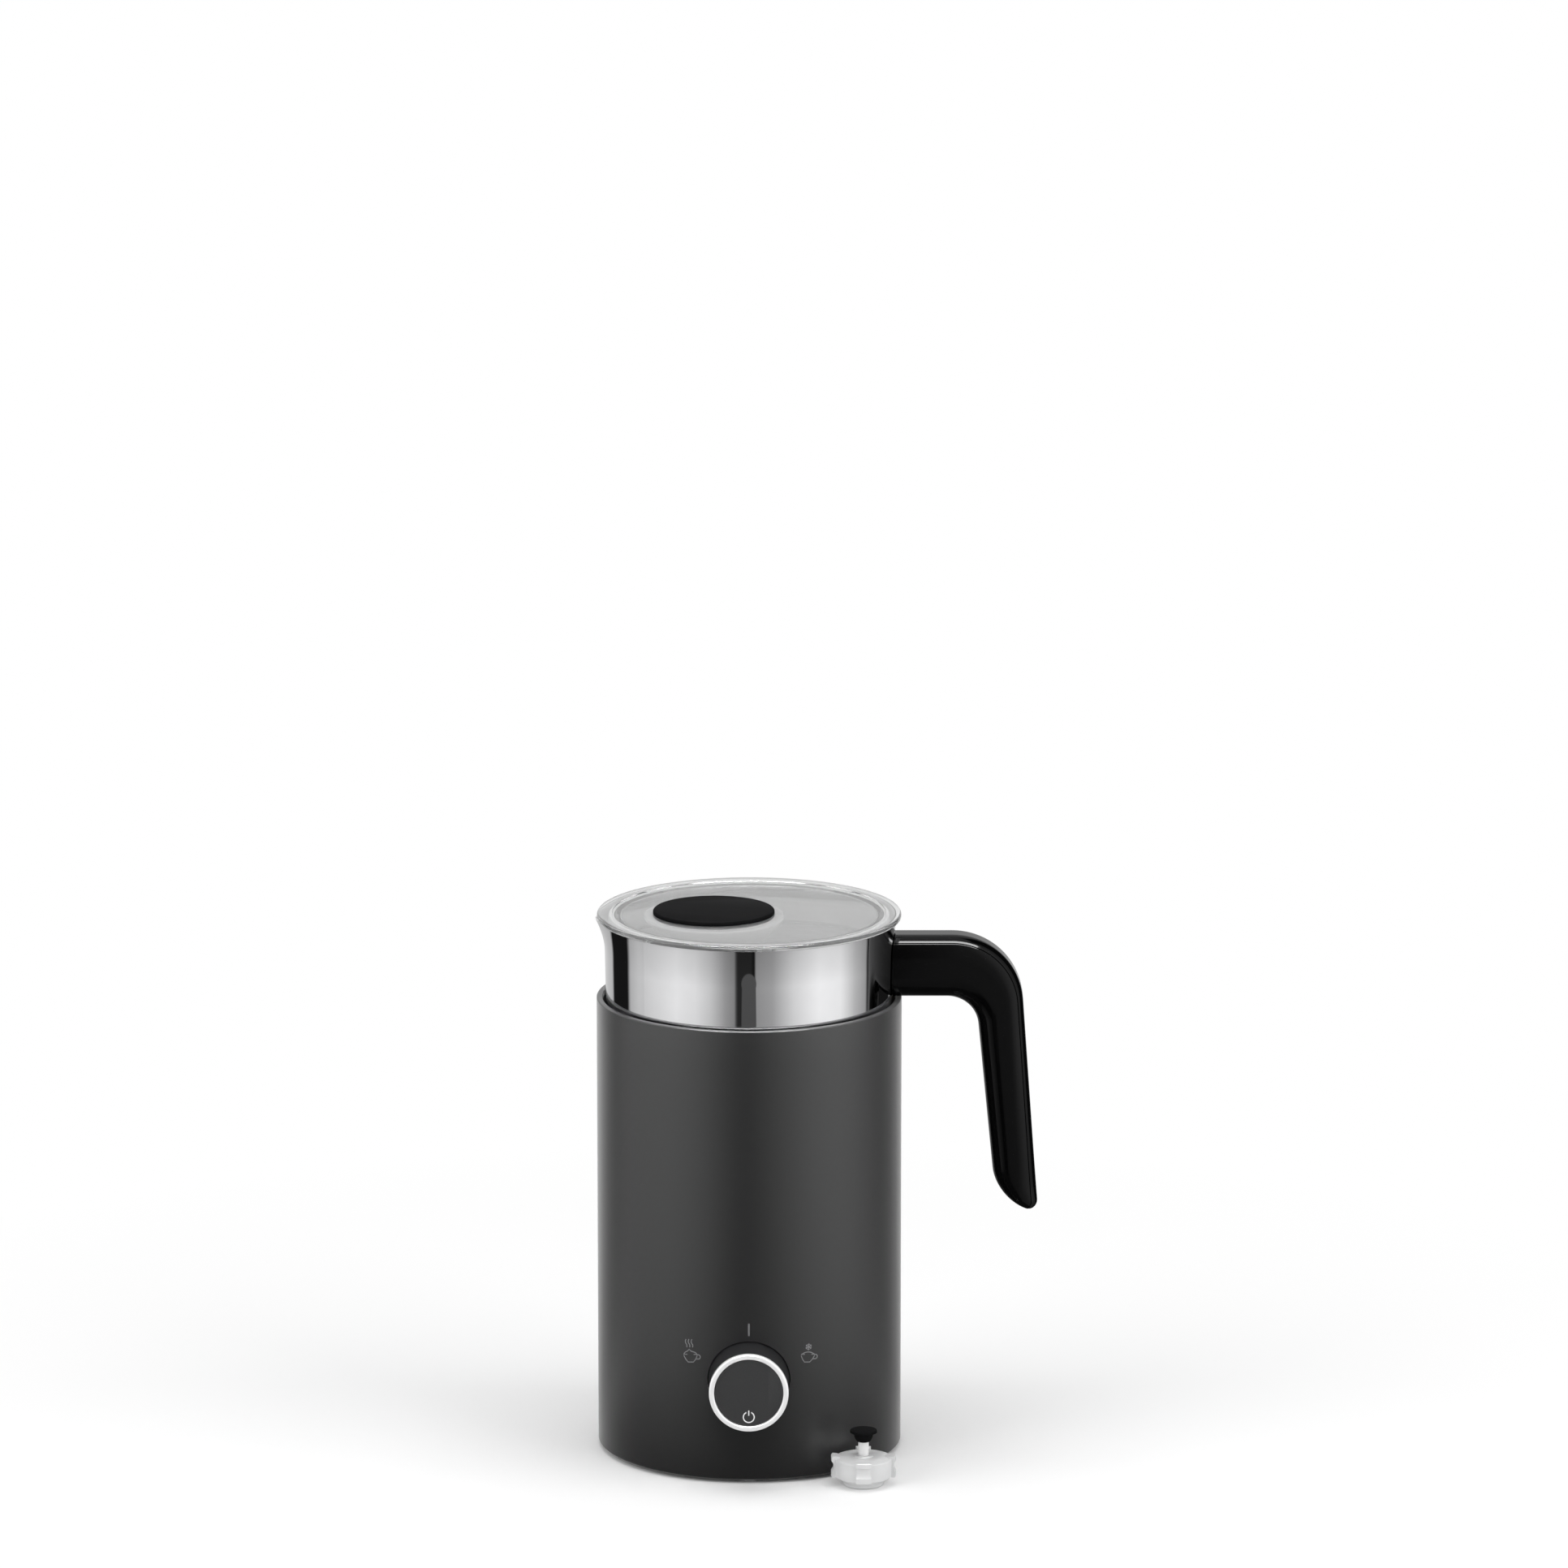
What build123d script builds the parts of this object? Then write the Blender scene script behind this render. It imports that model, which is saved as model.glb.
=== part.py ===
from build123d import *
from math import acos, atan, cos, degrees, radians, sin
import os

os.makedirs("parts", exist_ok=True)

# ---------------------------------------------------------------------------------------------
# Milk frother: a round heating base, a lift-out jug, a clear lid that carries the whisk holder,
# a magnetic whisk in its fork and a spare stirrer that stands beside the base.
# Millimetres. The origin is on the base's axis at table level, the knob faces -Y, the handle +X.
# ---------------------------------------------------------------------------------------------

# base
base_r = 58.0                   # outside of the housing
base_h = 176.0                  # table to rim
wall = 1.4                      # housing wall
well_r = 55.7                   # inside of the well
lip_h = 2.0                     # rim lip that hides the liner's top edge
seat_z = 76.0                   # floor that the jug stands on
seat_r = 43.0                   # shallow recess that centres the jug
seat_depth = 2.5
liner_floor = 2.5               # thickness of the liner's floor
plate_z = 1.2                   # underside of the base plate
plate_t = 3.0
foot_inner_r = 44.0
foot_outer_r = 50.0
housing_inner_r = base_r - wall
plate_top = plate_z + plate_t

# control knob, turning about an axis along Y
knob_z = 40.0
knob_hole_r = 15.7
knob_root_r = 15.35
knob_front_r = 15.0
knob_front_y = -71.9            # where the trim ring sits
knob_back_y = -53.5
trim_inner_r = 13.0
trim_t = 2.0
button_r = 12.8
button_face_y = -73.3
button_travel = 1.5
spindle_r = 4.0
plunger_r = 2.3
board_y = -44.8                 # front face of the control board

# jug, measured from its own underside
jug_h = 130.5
jug_sheet = 0.7
disc_r = 42.35
disc_h = 3.0
foot_r = 44.5
foot_corner = 3.0
neck_z = 12.0                   # the foot is straight up to here
cove_r = 22.0                   # hollow curve above the foot
shoulder_r = 43.6               # round shoulder above that
body_r = 54.8
body_z = 116.0                  # the wall leans out slightly up to here, then flares
rim_r = 56.0
spout_reach = 59.0
spout_root = 54.6
spout_drop = 10.0

# handle, heights measured from the jug's underside
arm_top = 124.5
arm_bottom = 100.6             # just over the housing's rim
root_gap = 0.3                  # handle's root to the jug's wall
outer_bend = 27.0
outer_bend_x = 77.2
inner_bend = 12.0
inner_bend_x = 75.2
grip_end_x = 109.9
grip_end_z = 20.0
handle_depth = 19.0
grip_inner_x = 91.9             # inner edge of the grip where its tip begins to curve
grip_inner_z = 42.0
tip_x = 107.0
tip_z = 17.9
cover_t = 2.4                   # outer strip that closes the handle's back

# lid, depths measured down from its top
lid_r = 57.8
flange_t = 2.2
lid_web_t = 2.0
lid_recess_r = 51.8
lid_recess = 0.5
skirt_r = 51.2
skirt_inner_r = 49.4
skirt_depth = 18.5
seal_r = 53.3
seal_depth = 16.7
holder_x = -13.4                # axis of the whisk holder and its black cap
cap_r = 23.1
cap_proud = 0.9
spigot_r = 19.9
bell_r = 26.5
bell_depth = 38.0
bell_wall = 1.9
stem_top_r = 4.1
stem_foot_r = 2.2

# whisk and spare stirrer, heights measured from the hub's underside
hub_clearance = 2.0             # hub above the jug's floor
hub_base_r = 7.6
hub_r = 10.9
rim_z = 10.2                    # top edge of the hub's wall
collar_r = 3.8
collar_h = 11.3
tab_r = 12.3
tab_w = 5.5
ring_r = 14.5                   # centre line of the coiled ring
coil_r = 2.95
ring_z = 7.4
axle_r = 2.0
axle_end = 18.6
axle_play = 1.8                 # the hub slides this far along its pin
cap_flange_r = 5.1
cap_h = 4.4
running = 0.05                  # radial clearance of a turning shaft
spare_x = 43.3
spare_y = -58.0

# drive and heating under the well
coil_inner_r = 24.0
coil_outer_r = 42.0
carrier_z = 66.0
carrier_t = 2.5
bracket_z = 58.0
bracket_t = 2.0
motor_r = 14.0
motor_h = 32.0
drive_disc_r = 14.0
boss_ring_r = 50.0
screw_ring_r = 53.5
screw_r = 1.5
screw_hole_r = 1.6

# heights that follow
jug_rim_z = seat_z + jug_h
lid_top = jug_rim_z + flange_t
hub_z = seat_z + disc_h + jug_sheet + hub_clearance
axle_top = hub_z + axle_end
floor_under = seat_z - liner_floor


def profile_plane(z=0.0):
    """Upright plane through the main axis: local x is the radius, local y is the height above z."""
    return Plane(origin=(0, 0, z), x_dir=(1, 0, 0), z_dir=(0, -1, 0))


# ============================================================================== base housing
# Straight tube with an inward lip at the rim, bosses for the base screws, a round hole for the
# knob and a small one for the cord gland.
gland_z = 16.0
gland_r = 4.6
boss_r = 3.6
screw_angles = 3

with BuildPart() as housing_shell:
    with BuildSketch(profile_plane()):
        with BuildLine():
            Polyline(
                (base_r, plate_z),
                (base_r, base_h),
                (well_r, base_h),
                (well_r, base_h - lip_h),
                (housing_inner_r, base_h - lip_h),
                (housing_inner_r, plate_z),
                close=True,
            )
        make_face()
    revolve(axis=Axis.Z)
    outer_rims = housing_shell.edges().filter_by(GeomType.CIRCLE).filter_by(lambda e: e.radius > base_r - 0.1)
    fillet(outer_rims.sort_by(Axis.Z)[0], radius=1.1)
    fillet(housing_shell.edges().filter_by(GeomType.CIRCLE).sort_by(Axis.Z)[-2:], radius=0.5)
    with BuildSketch(Plane.XY.offset(plate_top)):
        with PolarLocations(screw_ring_r, screw_angles, start_angle=30):
            Circle(boss_r)
    extrude(amount=16.0)
    with BuildSketch(Plane.XY.offset(plate_top)):
        with PolarLocations(screw_ring_r, screw_angles, start_angle=30):
            Circle(screw_hole_r)
    extrude(amount=13.0, mode=Mode.SUBTRACT)
    with BuildSketch(Plane.XZ):
        with Locations((0, knob_z)):
            Circle(knob_hole_r)
    extrude(amount=base_r + 5.0, mode=Mode.SUBTRACT)
    with BuildSketch(Plane.XZ):
        with Locations((0, gland_z)):
            Circle(gland_r)
    extrude(amount=-base_r - 5.0, mode=Mode.SUBTRACT)
housing_shell.part.label = "housing_shell"
export_step(housing_shell.part, "parts/housing_shell.step")

# Well liner: the upright wall of the well. It slides into the housing from below, stops under
# the lip, and turns in at its foot to meet the well's floor.
well_corner = 6.0
with BuildPart() as well_liner:
    with BuildSketch(profile_plane()):
        with BuildLine():
            Polyline(
                (well_r - well_corner, seat_z + seat_depth),
                (well_r - well_corner, seat_z),
                (housing_inner_r, seat_z),
                (housing_inner_r, base_h - lip_h),
                (well_r, base_h - lip_h),
                (well_r, seat_z + seat_depth + well_corner),
            )
            RadiusArc(
                (well_r, seat_z + seat_depth + well_corner),
                (well_r - well_corner, seat_z + seat_depth),
                well_corner,
            )
        make_face()
    revolve(axis=Axis.Z)
well_liner.part.label = "well_liner"
export_step(well_liner.part, "parts/well_liner.step")

# Well floor: a plate under the liner's foot with a shallow seat for the jug, a hole for the
# temperature sensor and three bosses that carry the motor bracket.
with BuildPart() as well_floor:
    with BuildSketch(profile_plane()):
        with BuildLine():
            Polyline(
                (0, floor_under),
                (housing_inner_r, floor_under),
                (housing_inner_r, seat_z),
                (well_r - well_corner, seat_z),
                (well_r - well_corner, seat_z + seat_depth),
                (seat_r, seat_z + seat_depth),
                (seat_r, seat_z),
                (0, seat_z),
                close=True,
            )
        make_face()
    revolve(axis=Axis.Z)
    with BuildSketch(Plane.XY.offset(bracket_z + bracket_t)):
        with PolarLocations(boss_ring_r, 3, start_angle=90):
            Circle(boss_r)
    extrude(until=Until.NEXT)
    with BuildSketch(Plane.XY.offset(bracket_z + bracket_t)):
        with PolarLocations(boss_ring_r, 3, start_angle=90):
            Circle(screw_hole_r)
    extrude(amount=12.0, mode=Mode.SUBTRACT)
    with Locations((19.0, 0, seat_z)):
        Hole(radius=3.6, depth=liner_floor * 2)
well_floor.part.label = "well_floor"
export_step(well_floor.part, "parts/well_floor.step")

# Base plate: closes the housing from below, with a groove for the foot ring, counterbored
# screw holes and guide posts that the two circuit boards stand between.
post_w = 5.0
board_t = 1.6
board_w = 52.0
power_board_y = 40.0
post_h = 22.0
with BuildPart() as base_plate:
    with BuildSketch(Plane.XY.offset(plate_z)):
        Circle(housing_inner_r)
    extrude(amount=plate_t)
    with BuildSketch(Plane.XY.offset(plate_z)):
        Circle(foot_outer_r)
        Circle(foot_inner_r, mode=Mode.SUBTRACT)
    extrude(amount=1.5, mode=Mode.SUBTRACT)
    with BuildSketch(Plane.XY.offset(plate_top)):
        for y in (board_y + board_t / 2, power_board_y):
            with Locations((-board_w / 2, y), (board_w / 2, y)):
                Rectangle(post_w, board_t + 4.0)
        for y in (board_y + board_t / 2, power_board_y):
            with Locations((0, y)):
                Rectangle(board_w, board_t, mode=Mode.SUBTRACT)
    extrude(amount=post_h)
    with BuildSketch(Plane.XY.offset(plate_top)):
        with Locations((0, 0)):
            Circle(12.0)
            Circle(10.0, mode=Mode.SUBTRACT)
    extrude(amount=4.0)
    with BuildSketch(Plane.XY.offset(plate_z)):
        with PolarLocations(screw_ring_r, screw_angles, start_angle=30):
            Circle(screw_hole_r)
    extrude(amount=plate_t, mode=Mode.SUBTRACT)
base_plate.part.label = "base_plate"
export_step(base_plate.part, "parts/base_plate.step")

# Rubber foot ring, pressed into the plate's groove; it is what stands on the table.
with BuildPart() as foot_ring:
    with BuildSketch(Plane.XY):
        Circle(foot_outer_r)
        Circle(foot_inner_r, mode=Mode.SUBTRACT)
    extrude(amount=plate_z + 1.5)
    fillet(foot_ring.edges().group_by(Axis.Z)[0], radius=0.5)
foot_ring.part.label = "foot_ring"
export_step(foot_ring.part, "parts/foot_ring.step")

# Base screws: pan heads under the plate, shanks up into the housing bosses.
with BuildPart() as base_screws:
    with BuildSketch(Plane.XY.offset(plate_z)):
        with PolarLocations(screw_ring_r, screw_angles, start_angle=30):
            Circle(screw_r)
    extrude(amount=14.0)
    with BuildSketch(Plane.XY.offset(plate_z)):
        with PolarLocations(screw_ring_r, screw_angles, start_angle=30):
            Circle(2.6)
    extrude(amount=-0.9)
base_screws.part.label = "base_screws"
export_step(base_screws.part, "parts/base_screws.step")

# Cord gland: flanged bush at the back, low down; its flange is hollowed to sit on the round wall.
gland_bore_r = 3.0
gland_flange_r = 6.6
gland_flange_t = 1.6
with BuildPart() as cord_gland:
    with BuildSketch(Plane.XZ.offset(-(base_r + gland_flange_t))):
        with Locations((0, gland_z)):
            Circle(gland_flange_r)
    extrude(amount=gland_flange_t + 1.0)
    with BuildSketch(Plane.XY):
        Circle(base_r)
    extrude(amount=gland_z * 2, mode=Mode.SUBTRACT)
    fillet(cord_gland.edges().filter_by(GeomType.CIRCLE).sort_by(Axis.Y)[-1], radius=0.6)
    with BuildSketch(Plane.XZ.offset(-(base_r + 0.5))):
        with Locations((0, gland_z)):
            Circle(gland_r)
    extrude(amount=8.0)
    with BuildSketch(Plane.XZ.offset(-(base_r + gland_flange_t))):
        with Locations((0, gland_z)):
            Circle(gland_bore_r)
    extrude(amount=12.0, mode=Mode.SUBTRACT)
cord_gland.part.label = "cord_gland"
export_step(cord_gland.part, "parts/cord_gland.step")

# ================================================================================ heating
# Coil carrier: a shallow dish under the well floor that holds the flat induction coil.
dish_r = 44.6
carrier_hole_r = 15.4
with BuildPart() as coil_carrier:
    with BuildSketch(Plane.XY.offset(carrier_z)):
        Circle(dish_r)
        Circle(carrier_hole_r, mode=Mode.SUBTRACT)
    extrude(amount=carrier_t)
    with BuildSketch(Plane.XY.offset(carrier_z + carrier_t)):
        Circle(dish_r)
        Circle(dish_r - 1.8, mode=Mode.SUBTRACT)
    extrude(amount=floor_under - carrier_z - carrier_t)
coil_carrier.part.label = "coil_carrier"
export_step(coil_carrier.part, "parts/coil_carrier.step")

# Induction coil: flat spiral winding, modelled as concentric turns on one thin backing.
turn_count = 6
turn_pitch = (coil_outer_r - coil_inner_r) / turn_count
coil_t = 3.4
with BuildPart() as induction_coil:
    with BuildSketch(Plane.XY.offset(carrier_z + carrier_t)):
        Circle(coil_outer_r)
        Circle(coil_inner_r, mode=Mode.SUBTRACT)
    extrude(amount=1.0)
    with BuildSketch(Plane.XY.offset(carrier_z + carrier_t + 1.0)):
        for turn in range(turn_count):
            Circle(coil_outer_r - turn * turn_pitch)
            Circle(coil_outer_r - turn * turn_pitch - 0.8 * turn_pitch, mode=Mode.SUBTRACT)
    extrude(amount=coil_t - 1.0)
induction_coil.part.label = "induction_coil"
export_step(induction_coil.part, "parts/induction_coil.step")

# Ferrite bars: radial field guides under the carrier.
ferrite_t = 3.0
with BuildPart() as ferrite_bars:
    with BuildSketch(Plane.XY.offset(carrier_z - ferrite_t)):
        with PolarLocations((coil_inner_r + coil_outer_r) / 2, 6):
            Rectangle(coil_outer_r - coil_inner_r - 2.0, 6.0)
    extrude(amount=ferrite_t)
ferrite_bars.part.label = "ferrite_bars"
export_step(ferrite_bars.part, "parts/ferrite_bars.step")

# Temperature sensor: a small flanged cup that reaches up through the well floor to the jug.
sensor_x = 19.0
with BuildPart() as temperature_sensor:
    with BuildSketch(Plane.XY.offset(carrier_z + carrier_t)):
        with Locations((sensor_x, 0)):
            Circle(3.5)
    extrude(amount=seat_z - carrier_z - carrier_t - 0.2)
    fillet(temperature_sensor.edges().group_by(Axis.Z)[-1], radius=0.6)
temperature_sensor.part.label = "temperature_sensor"
export_step(temperature_sensor.part, "parts/temperature_sensor.step")

# ================================================================================ drive
# Motor bracket: hub plate with three arms that reach the liner's bosses.
arm_w = 9.0
motor_neck_r = 5.0
with BuildPart() as motor_bracket:
    with BuildSketch(Plane.XY.offset(bracket_z)):
        Circle(motor_r + 4.0)
        with PolarLocations(boss_ring_r / 2, 3, start_angle=90):
            Rectangle(boss_ring_r, arm_w)
        with PolarLocations(boss_ring_r, 3, start_angle=90):
            Circle(arm_w / 2)
        with PolarLocations(boss_ring_r, 3, start_angle=90):
            Circle(screw_hole_r, mode=Mode.SUBTRACT)
        Circle(motor_neck_r, mode=Mode.SUBTRACT)
    extrude(amount=bracket_t)
motor_bracket.part.label = "motor_bracket"
export_step(motor_bracket.part, "parts/motor_bracket.step")

# Motor: a can under the bracket with a short neck through it and a blind bore for the shaft.
shaft_r = 1.5
shaft_foot_z = 42.0
with BuildPart() as drive_motor:
    with BuildSketch(Plane.XY.offset(bracket_z - motor_h)):
        Circle(motor_r)
    extrude(amount=motor_h)
    fillet(drive_motor.edges().group_by(Axis.Z)[0], radius=1.5)
    with BuildSketch(Plane.XY.offset(bracket_z)):
        Circle(motor_neck_r)
    extrude(amount=bracket_t)
    with BuildSketch(Plane.XY.offset(bracket_z - motor_h)):
        Circle(4.0)
    extrude(amount=-2.5)
    with BuildSketch(Plane.XY.offset(shaft_foot_z - 0.2)):
        Circle(shaft_r + running)
    extrude(amount=bracket_z + bracket_t - shaft_foot_z + 0.2, mode=Mode.SUBTRACT)
drive_motor.part.label = "drive_motor"
export_step(drive_motor.part, "parts/drive_motor.step")

# Motor screws: three, up through the bracket's arms into the bosses.
with BuildPart() as motor_screws:
    with BuildSketch(Plane.XY.offset(bracket_z)):
        with PolarLocations(boss_ring_r, 3, start_angle=90):
            Circle(screw_r)
    extrude(amount=11.0)
    with BuildSketch(Plane.XY.offset(bracket_z)):
        with PolarLocations(boss_ring_r, 3, start_angle=90):
            Circle(2.8)
    extrude(amount=-2.0)
motor_screws.part.label = "motor_screws"
export_step(motor_screws.part, "parts/motor_screws.step")

# Drive rotor: shaft, disc and magnets that pull the whisk round through the floor.
disc_z = 67.0
disc_t = 3.0
magnet_r = 3.0
magnet_t = 2.2
magnet_ring_r = 9.5
with BuildPart() as motor_shaft:
    with BuildSketch(Plane.XY.offset(shaft_foot_z)):
        Circle(shaft_r)
    extrude(amount=disc_z + disc_t - shaft_foot_z)
motor_shaft.part.label = "motor_shaft"
export_step(motor_shaft.part, "parts/motor_shaft.step")

with BuildPart() as drive_disc:
    with BuildSketch(Plane.XY.offset(disc_z)):
        Circle(drive_disc_r)
        Circle(shaft_r, mode=Mode.SUBTRACT)
    extrude(amount=disc_t)
    with BuildSketch(Plane.XY.offset(disc_z)):
        Circle(4.0)
        Circle(shaft_r, mode=Mode.SUBTRACT)
    extrude(amount=-4.0)
drive_disc.part.label = "drive_disc"
export_step(drive_disc.part, "parts/drive_disc.step")

with BuildPart() as drive_magnets:
    with BuildSketch(Plane.XY.offset(disc_z + disc_t)):
        with PolarLocations(magnet_ring_r, 4):
            Circle(magnet_r)
    extrude(amount=magnet_t)
drive_magnets.part.label = "drive_magnets"
export_step(drive_magnets.part, "parts/drive_magnets.step")

# ================================================================================ electronics
# Control board stands behind the knob, power board at the back; both are held by the posts.
control_board_h = 52.0
with BuildPart() as control_board:
    with BuildSketch(Plane.XZ.offset(-board_y - board_t)):
        with Locations((0, plate_top)):
            Rectangle(board_w, control_board_h, align=(Align.CENTER, Align.MIN))
    extrude(amount=board_t)
    with BuildSketch(Plane.XZ.offset(-board_y)):
        with Locations((0, knob_z)):
            Circle(2.1)
    extrude(amount=1.4)
control_board.part.label = "control_board"
export_step(control_board.part, "parts/control_board.step")

power_board_h = 50.0
with BuildPart() as power_board:
    with BuildSketch(Plane.XZ.offset(-power_board_y - board_t / 2)):
        with Locations((0, plate_top)):
            Rectangle(board_w, power_board_h, align=(Align.CENTER, Align.MIN))
    extrude(amount=board_t)
power_board.part.label = "power_board"
export_step(power_board.part, "parts/power_board.step")

with BuildPart() as power_parts:
    with BuildSketch(Plane.XZ.offset(-power_board_y + board_t / 2)):
        with Locations((-14.0, 34.0)):
            RectangleRounded(16.0, 14.0, 1.0)
    extrude(amount=12.0)
    with BuildSketch(Plane.XZ.offset(-power_board_y + board_t / 2)):
        with Locations((12.0, 38.0)):
            Circle(6.0)
        with Locations((14.0, 20.0)):
            RectangleRounded(14.0, 10.0, 1.0)
    extrude(amount=14.0)
power_parts.part.label = "power_parts"
export_step(power_parts.part, "parts/power_parts.step")

# ================================================================================ knob
# Rotary switch on the board's front, with a bore for the hollow spindle.
switch_r = 10.5
switch_t = 6.5
with BuildPart() as selector_switch:
    with BuildSketch(Plane.XZ.offset(-board_y)):
        with Locations((0, knob_z)):
            RectangleRounded(switch_r * 2, switch_r * 2, 4.0)
            Circle(spindle_r + running, mode=Mode.SUBTRACT)
    extrude(amount=switch_t)
selector_switch.part.label = "selector_switch"
export_step(selector_switch.part, "parts/selector_switch.step")

# Bezel: sleeve behind the hole in the housing that guides the barrel.
bezel_back_y = -50.0
with BuildPart() as knob_bezel:
    with BuildSketch(Plane.XZ.offset(-bezel_back_y)):
        with Locations((0, knob_z)):
            Circle(knob_hole_r + 2.0)
            Circle(knob_hole_r, mode=Mode.SUBTRACT)
    extrude(amount=10.0)
    with BuildSketch(Plane.XY):
        Circle(housing_inner_r)
    extrude(amount=knob_z * 2, mode=Mode.INTERSECT)
knob_bezel.part.label = "knob_bezel"
export_step(knob_bezel.part, "parts/knob_bezel.step")

# Barrel: a tapering cup, open at the front, with a web and hub that grip the spindle.
barrel_len = knob_back_y - knob_front_y
barrel_taper = degrees(atan((knob_root_r - knob_front_r) / barrel_len))
web_y = -61.5
web_t = 2.0
hub_outer_r = 6.5
with BuildPart() as knob_barrel:
    with BuildSketch(Plane.XZ.offset(-knob_back_y)):
        with Locations((0, knob_z)):
            Circle(knob_root_r)
    extrude(amount=barrel_len, taper=barrel_taper)
    with BuildSketch(Plane.XZ.offset(-knob_back_y)):
        with Locations((0, knob_z)):
            Circle(trim_inner_r)
    extrude(amount=barrel_len, mode=Mode.SUBTRACT)
    with BuildSketch(Plane.XZ.offset(-web_y)):
        with Locations((0, knob_z)):
            Circle(trim_inner_r + 0.5)
    extrude(amount=web_t)
    with BuildSketch(Plane.XZ.offset(-web_y)):
        with Locations((0, knob_z)):
            Circle(hub_outer_r)
    extrude(amount=-6.0)
    with BuildSketch(Plane.XZ.offset(-web_y + web_t)):
        with Locations((0, knob_z)):
            Circle(spindle_r)
    extrude(amount=-12.0, mode=Mode.SUBTRACT)
knob_barrel.part.label = "knob_barrel"
export_step(knob_barrel.part, "parts/knob_barrel.step")

# Spindle: hollow, from the web into the rotary switch.
spindle_front_y = web_y - web_t
spindle_back_y = board_y - 1.6
with BuildPart() as selector_spindle:
    with BuildSketch(Plane.XZ.offset(-spindle_back_y)):
        with Locations((0, knob_z)):
            Circle(spindle_r)
            Circle(plunger_r + running, mode=Mode.SUBTRACT)
    extrude(amount=spindle_back_y - spindle_front_y)
selector_spindle.part.label = "selector_spindle"
export_step(selector_spindle.part, "parts/selector_spindle.step")

# Trim ring: bright rounded ring on the barrel's front edge.
with BuildPart() as knob_trim_ring:
    with BuildSketch(Plane.XZ.offset(-knob_front_y)):
        with Locations((0, knob_z)):
            Circle(knob_front_r)
            Circle(trim_inner_r, mode=Mode.SUBTRACT)
    extrude(amount=trim_t)
    fillet(knob_trim_ring.edges().group_by(Axis.Y)[0], radius=0.7)
knob_trim_ring.part.label = "knob_trim_ring"
export_step(knob_trim_ring.part, "parts/knob_trim_ring.step")

# Start button: a flat disc inside the ring, and the plunger that runs back through the spindle.
button_t = 2.4
plunger_end_y = spindle_back_y - button_travel - 0.3
with BuildPart() as button_face:
    with BuildSketch(Plane.XZ.offset(-button_face_y - button_t)):
        with Locations((0, knob_z)):
            Circle(button_r)
    extrude(amount=button_t)
    fillet(button_face.edges().group_by(Axis.Y)[0], radius=0.35)
button_face.part.label = "button_face"
export_step(button_face.part, "parts/button_face.step")

with BuildPart() as button_plunger:
    with BuildSketch(Plane.XZ.offset(-plunger_end_y)):
        with Locations((0, knob_z)):
            Circle(plunger_r)
    extrude(amount=plunger_end_y - button_face_y - button_t)
button_plunger.part.label = "button_plunger"
export_step(button_plunger.part, "parts/button_plunger.step")

# ================================================================================ jug
# Drawn steel: a straight foot, a hollow curve, a round shoulder, a wall that leans out slightly
# and a flared rim with a small pouring lip. The same outline, moved in by the sheet thickness,
# hollows it.
jug_plane = profile_plane(seat_z)
lean_angle = 1.13               # lean of the straight wall, in degrees
shoulder_x = body_r - 1.4 - shoulder_r
cove_angle = degrees(acos((foot_r + cove_r - shoulder_x) / (cove_r + shoulder_r)))
shoulder_z = neck_z + (cove_r + shoulder_r) * sin(radians(cove_angle))


def jug_outline(inset):
    """Closed half outline of the jug's body, moved in by inset."""
    corner_r = foot_corner - inset
    with BuildLine() as outline:
        CenterArc((foot_r - foot_corner, disc_h + foot_corner), corner_r, -90, 90)
        Line((foot_r - inset, disc_h + foot_corner), (foot_r - inset, neck_z))
        CenterArc((foot_r + cove_r, neck_z), cove_r + inset, 180, -cove_angle)
        CenterArc((shoulder_x, shoulder_z), shoulder_r - inset, -cove_angle, cove_angle - lean_angle)
        Line(
            (
                shoulder_x + (shoulder_r - inset) * cos(radians(lean_angle)),
                shoulder_z - (shoulder_r - inset) * sin(radians(lean_angle)),
            ),
            (body_r - inset, body_z),
        )
        TangentArc(
            (body_r - inset, body_z),
            (rim_r - inset, jug_h),
            tangent=(sin(radians(lean_angle)), cos(radians(lean_angle))),
        )
        Line((rim_r - inset, jug_h), (0, jug_h))
        Line((0, jug_h), (0, disc_h + inset))
        Line((0, disc_h + inset), (foot_r - foot_corner, disc_h + inset))
    make_face(outline.edges())


def spout_section(reach, half_width, nose_r):
    """Rounded triangle that points towards -X."""
    with BuildLine() as wedge:
        Polyline((-body_r + 8.0, half_width), (-reach, 0), (-body_r + 8.0, -half_width), close=True)
    make_face(wedge.edges())
    nose = min(wedge.vertices(), key=lambda v: v.X)
    fillet(nose, radius=nose_r)


with BuildPart() as jug_shell:
    with BuildSketch(jug_plane):
        jug_outline(0)
    revolve(axis=Axis.Z)
    with BuildSketch(Plane.XY.offset(jug_rim_z - spout_drop)):
        spout_section(spout_root, 3.4, 1.0)
    with BuildSketch(Plane.XY.offset(jug_rim_z)):
        spout_section(spout_reach, 15.0, 2.0)
    loft()
    with BuildSketch(jug_plane):
        jug_outline(jug_sheet)
    revolve(axis=Axis.Z, mode=Mode.SUBTRACT)
    with BuildSketch(Plane.XY.offset(jug_rim_z - spout_drop)):
        spout_section(spout_root - jug_sheet, 2.8, 0.7)
    with BuildSketch(Plane.XY.offset(jug_rim_z)):
        spout_section(spout_reach - jug_sheet, 14.2, 1.6)
    loft(mode=Mode.SUBTRACT)
jug_shell.part.label = "jug_shell"
export_step(jug_shell.part, "parts/jug_shell.step")

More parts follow.
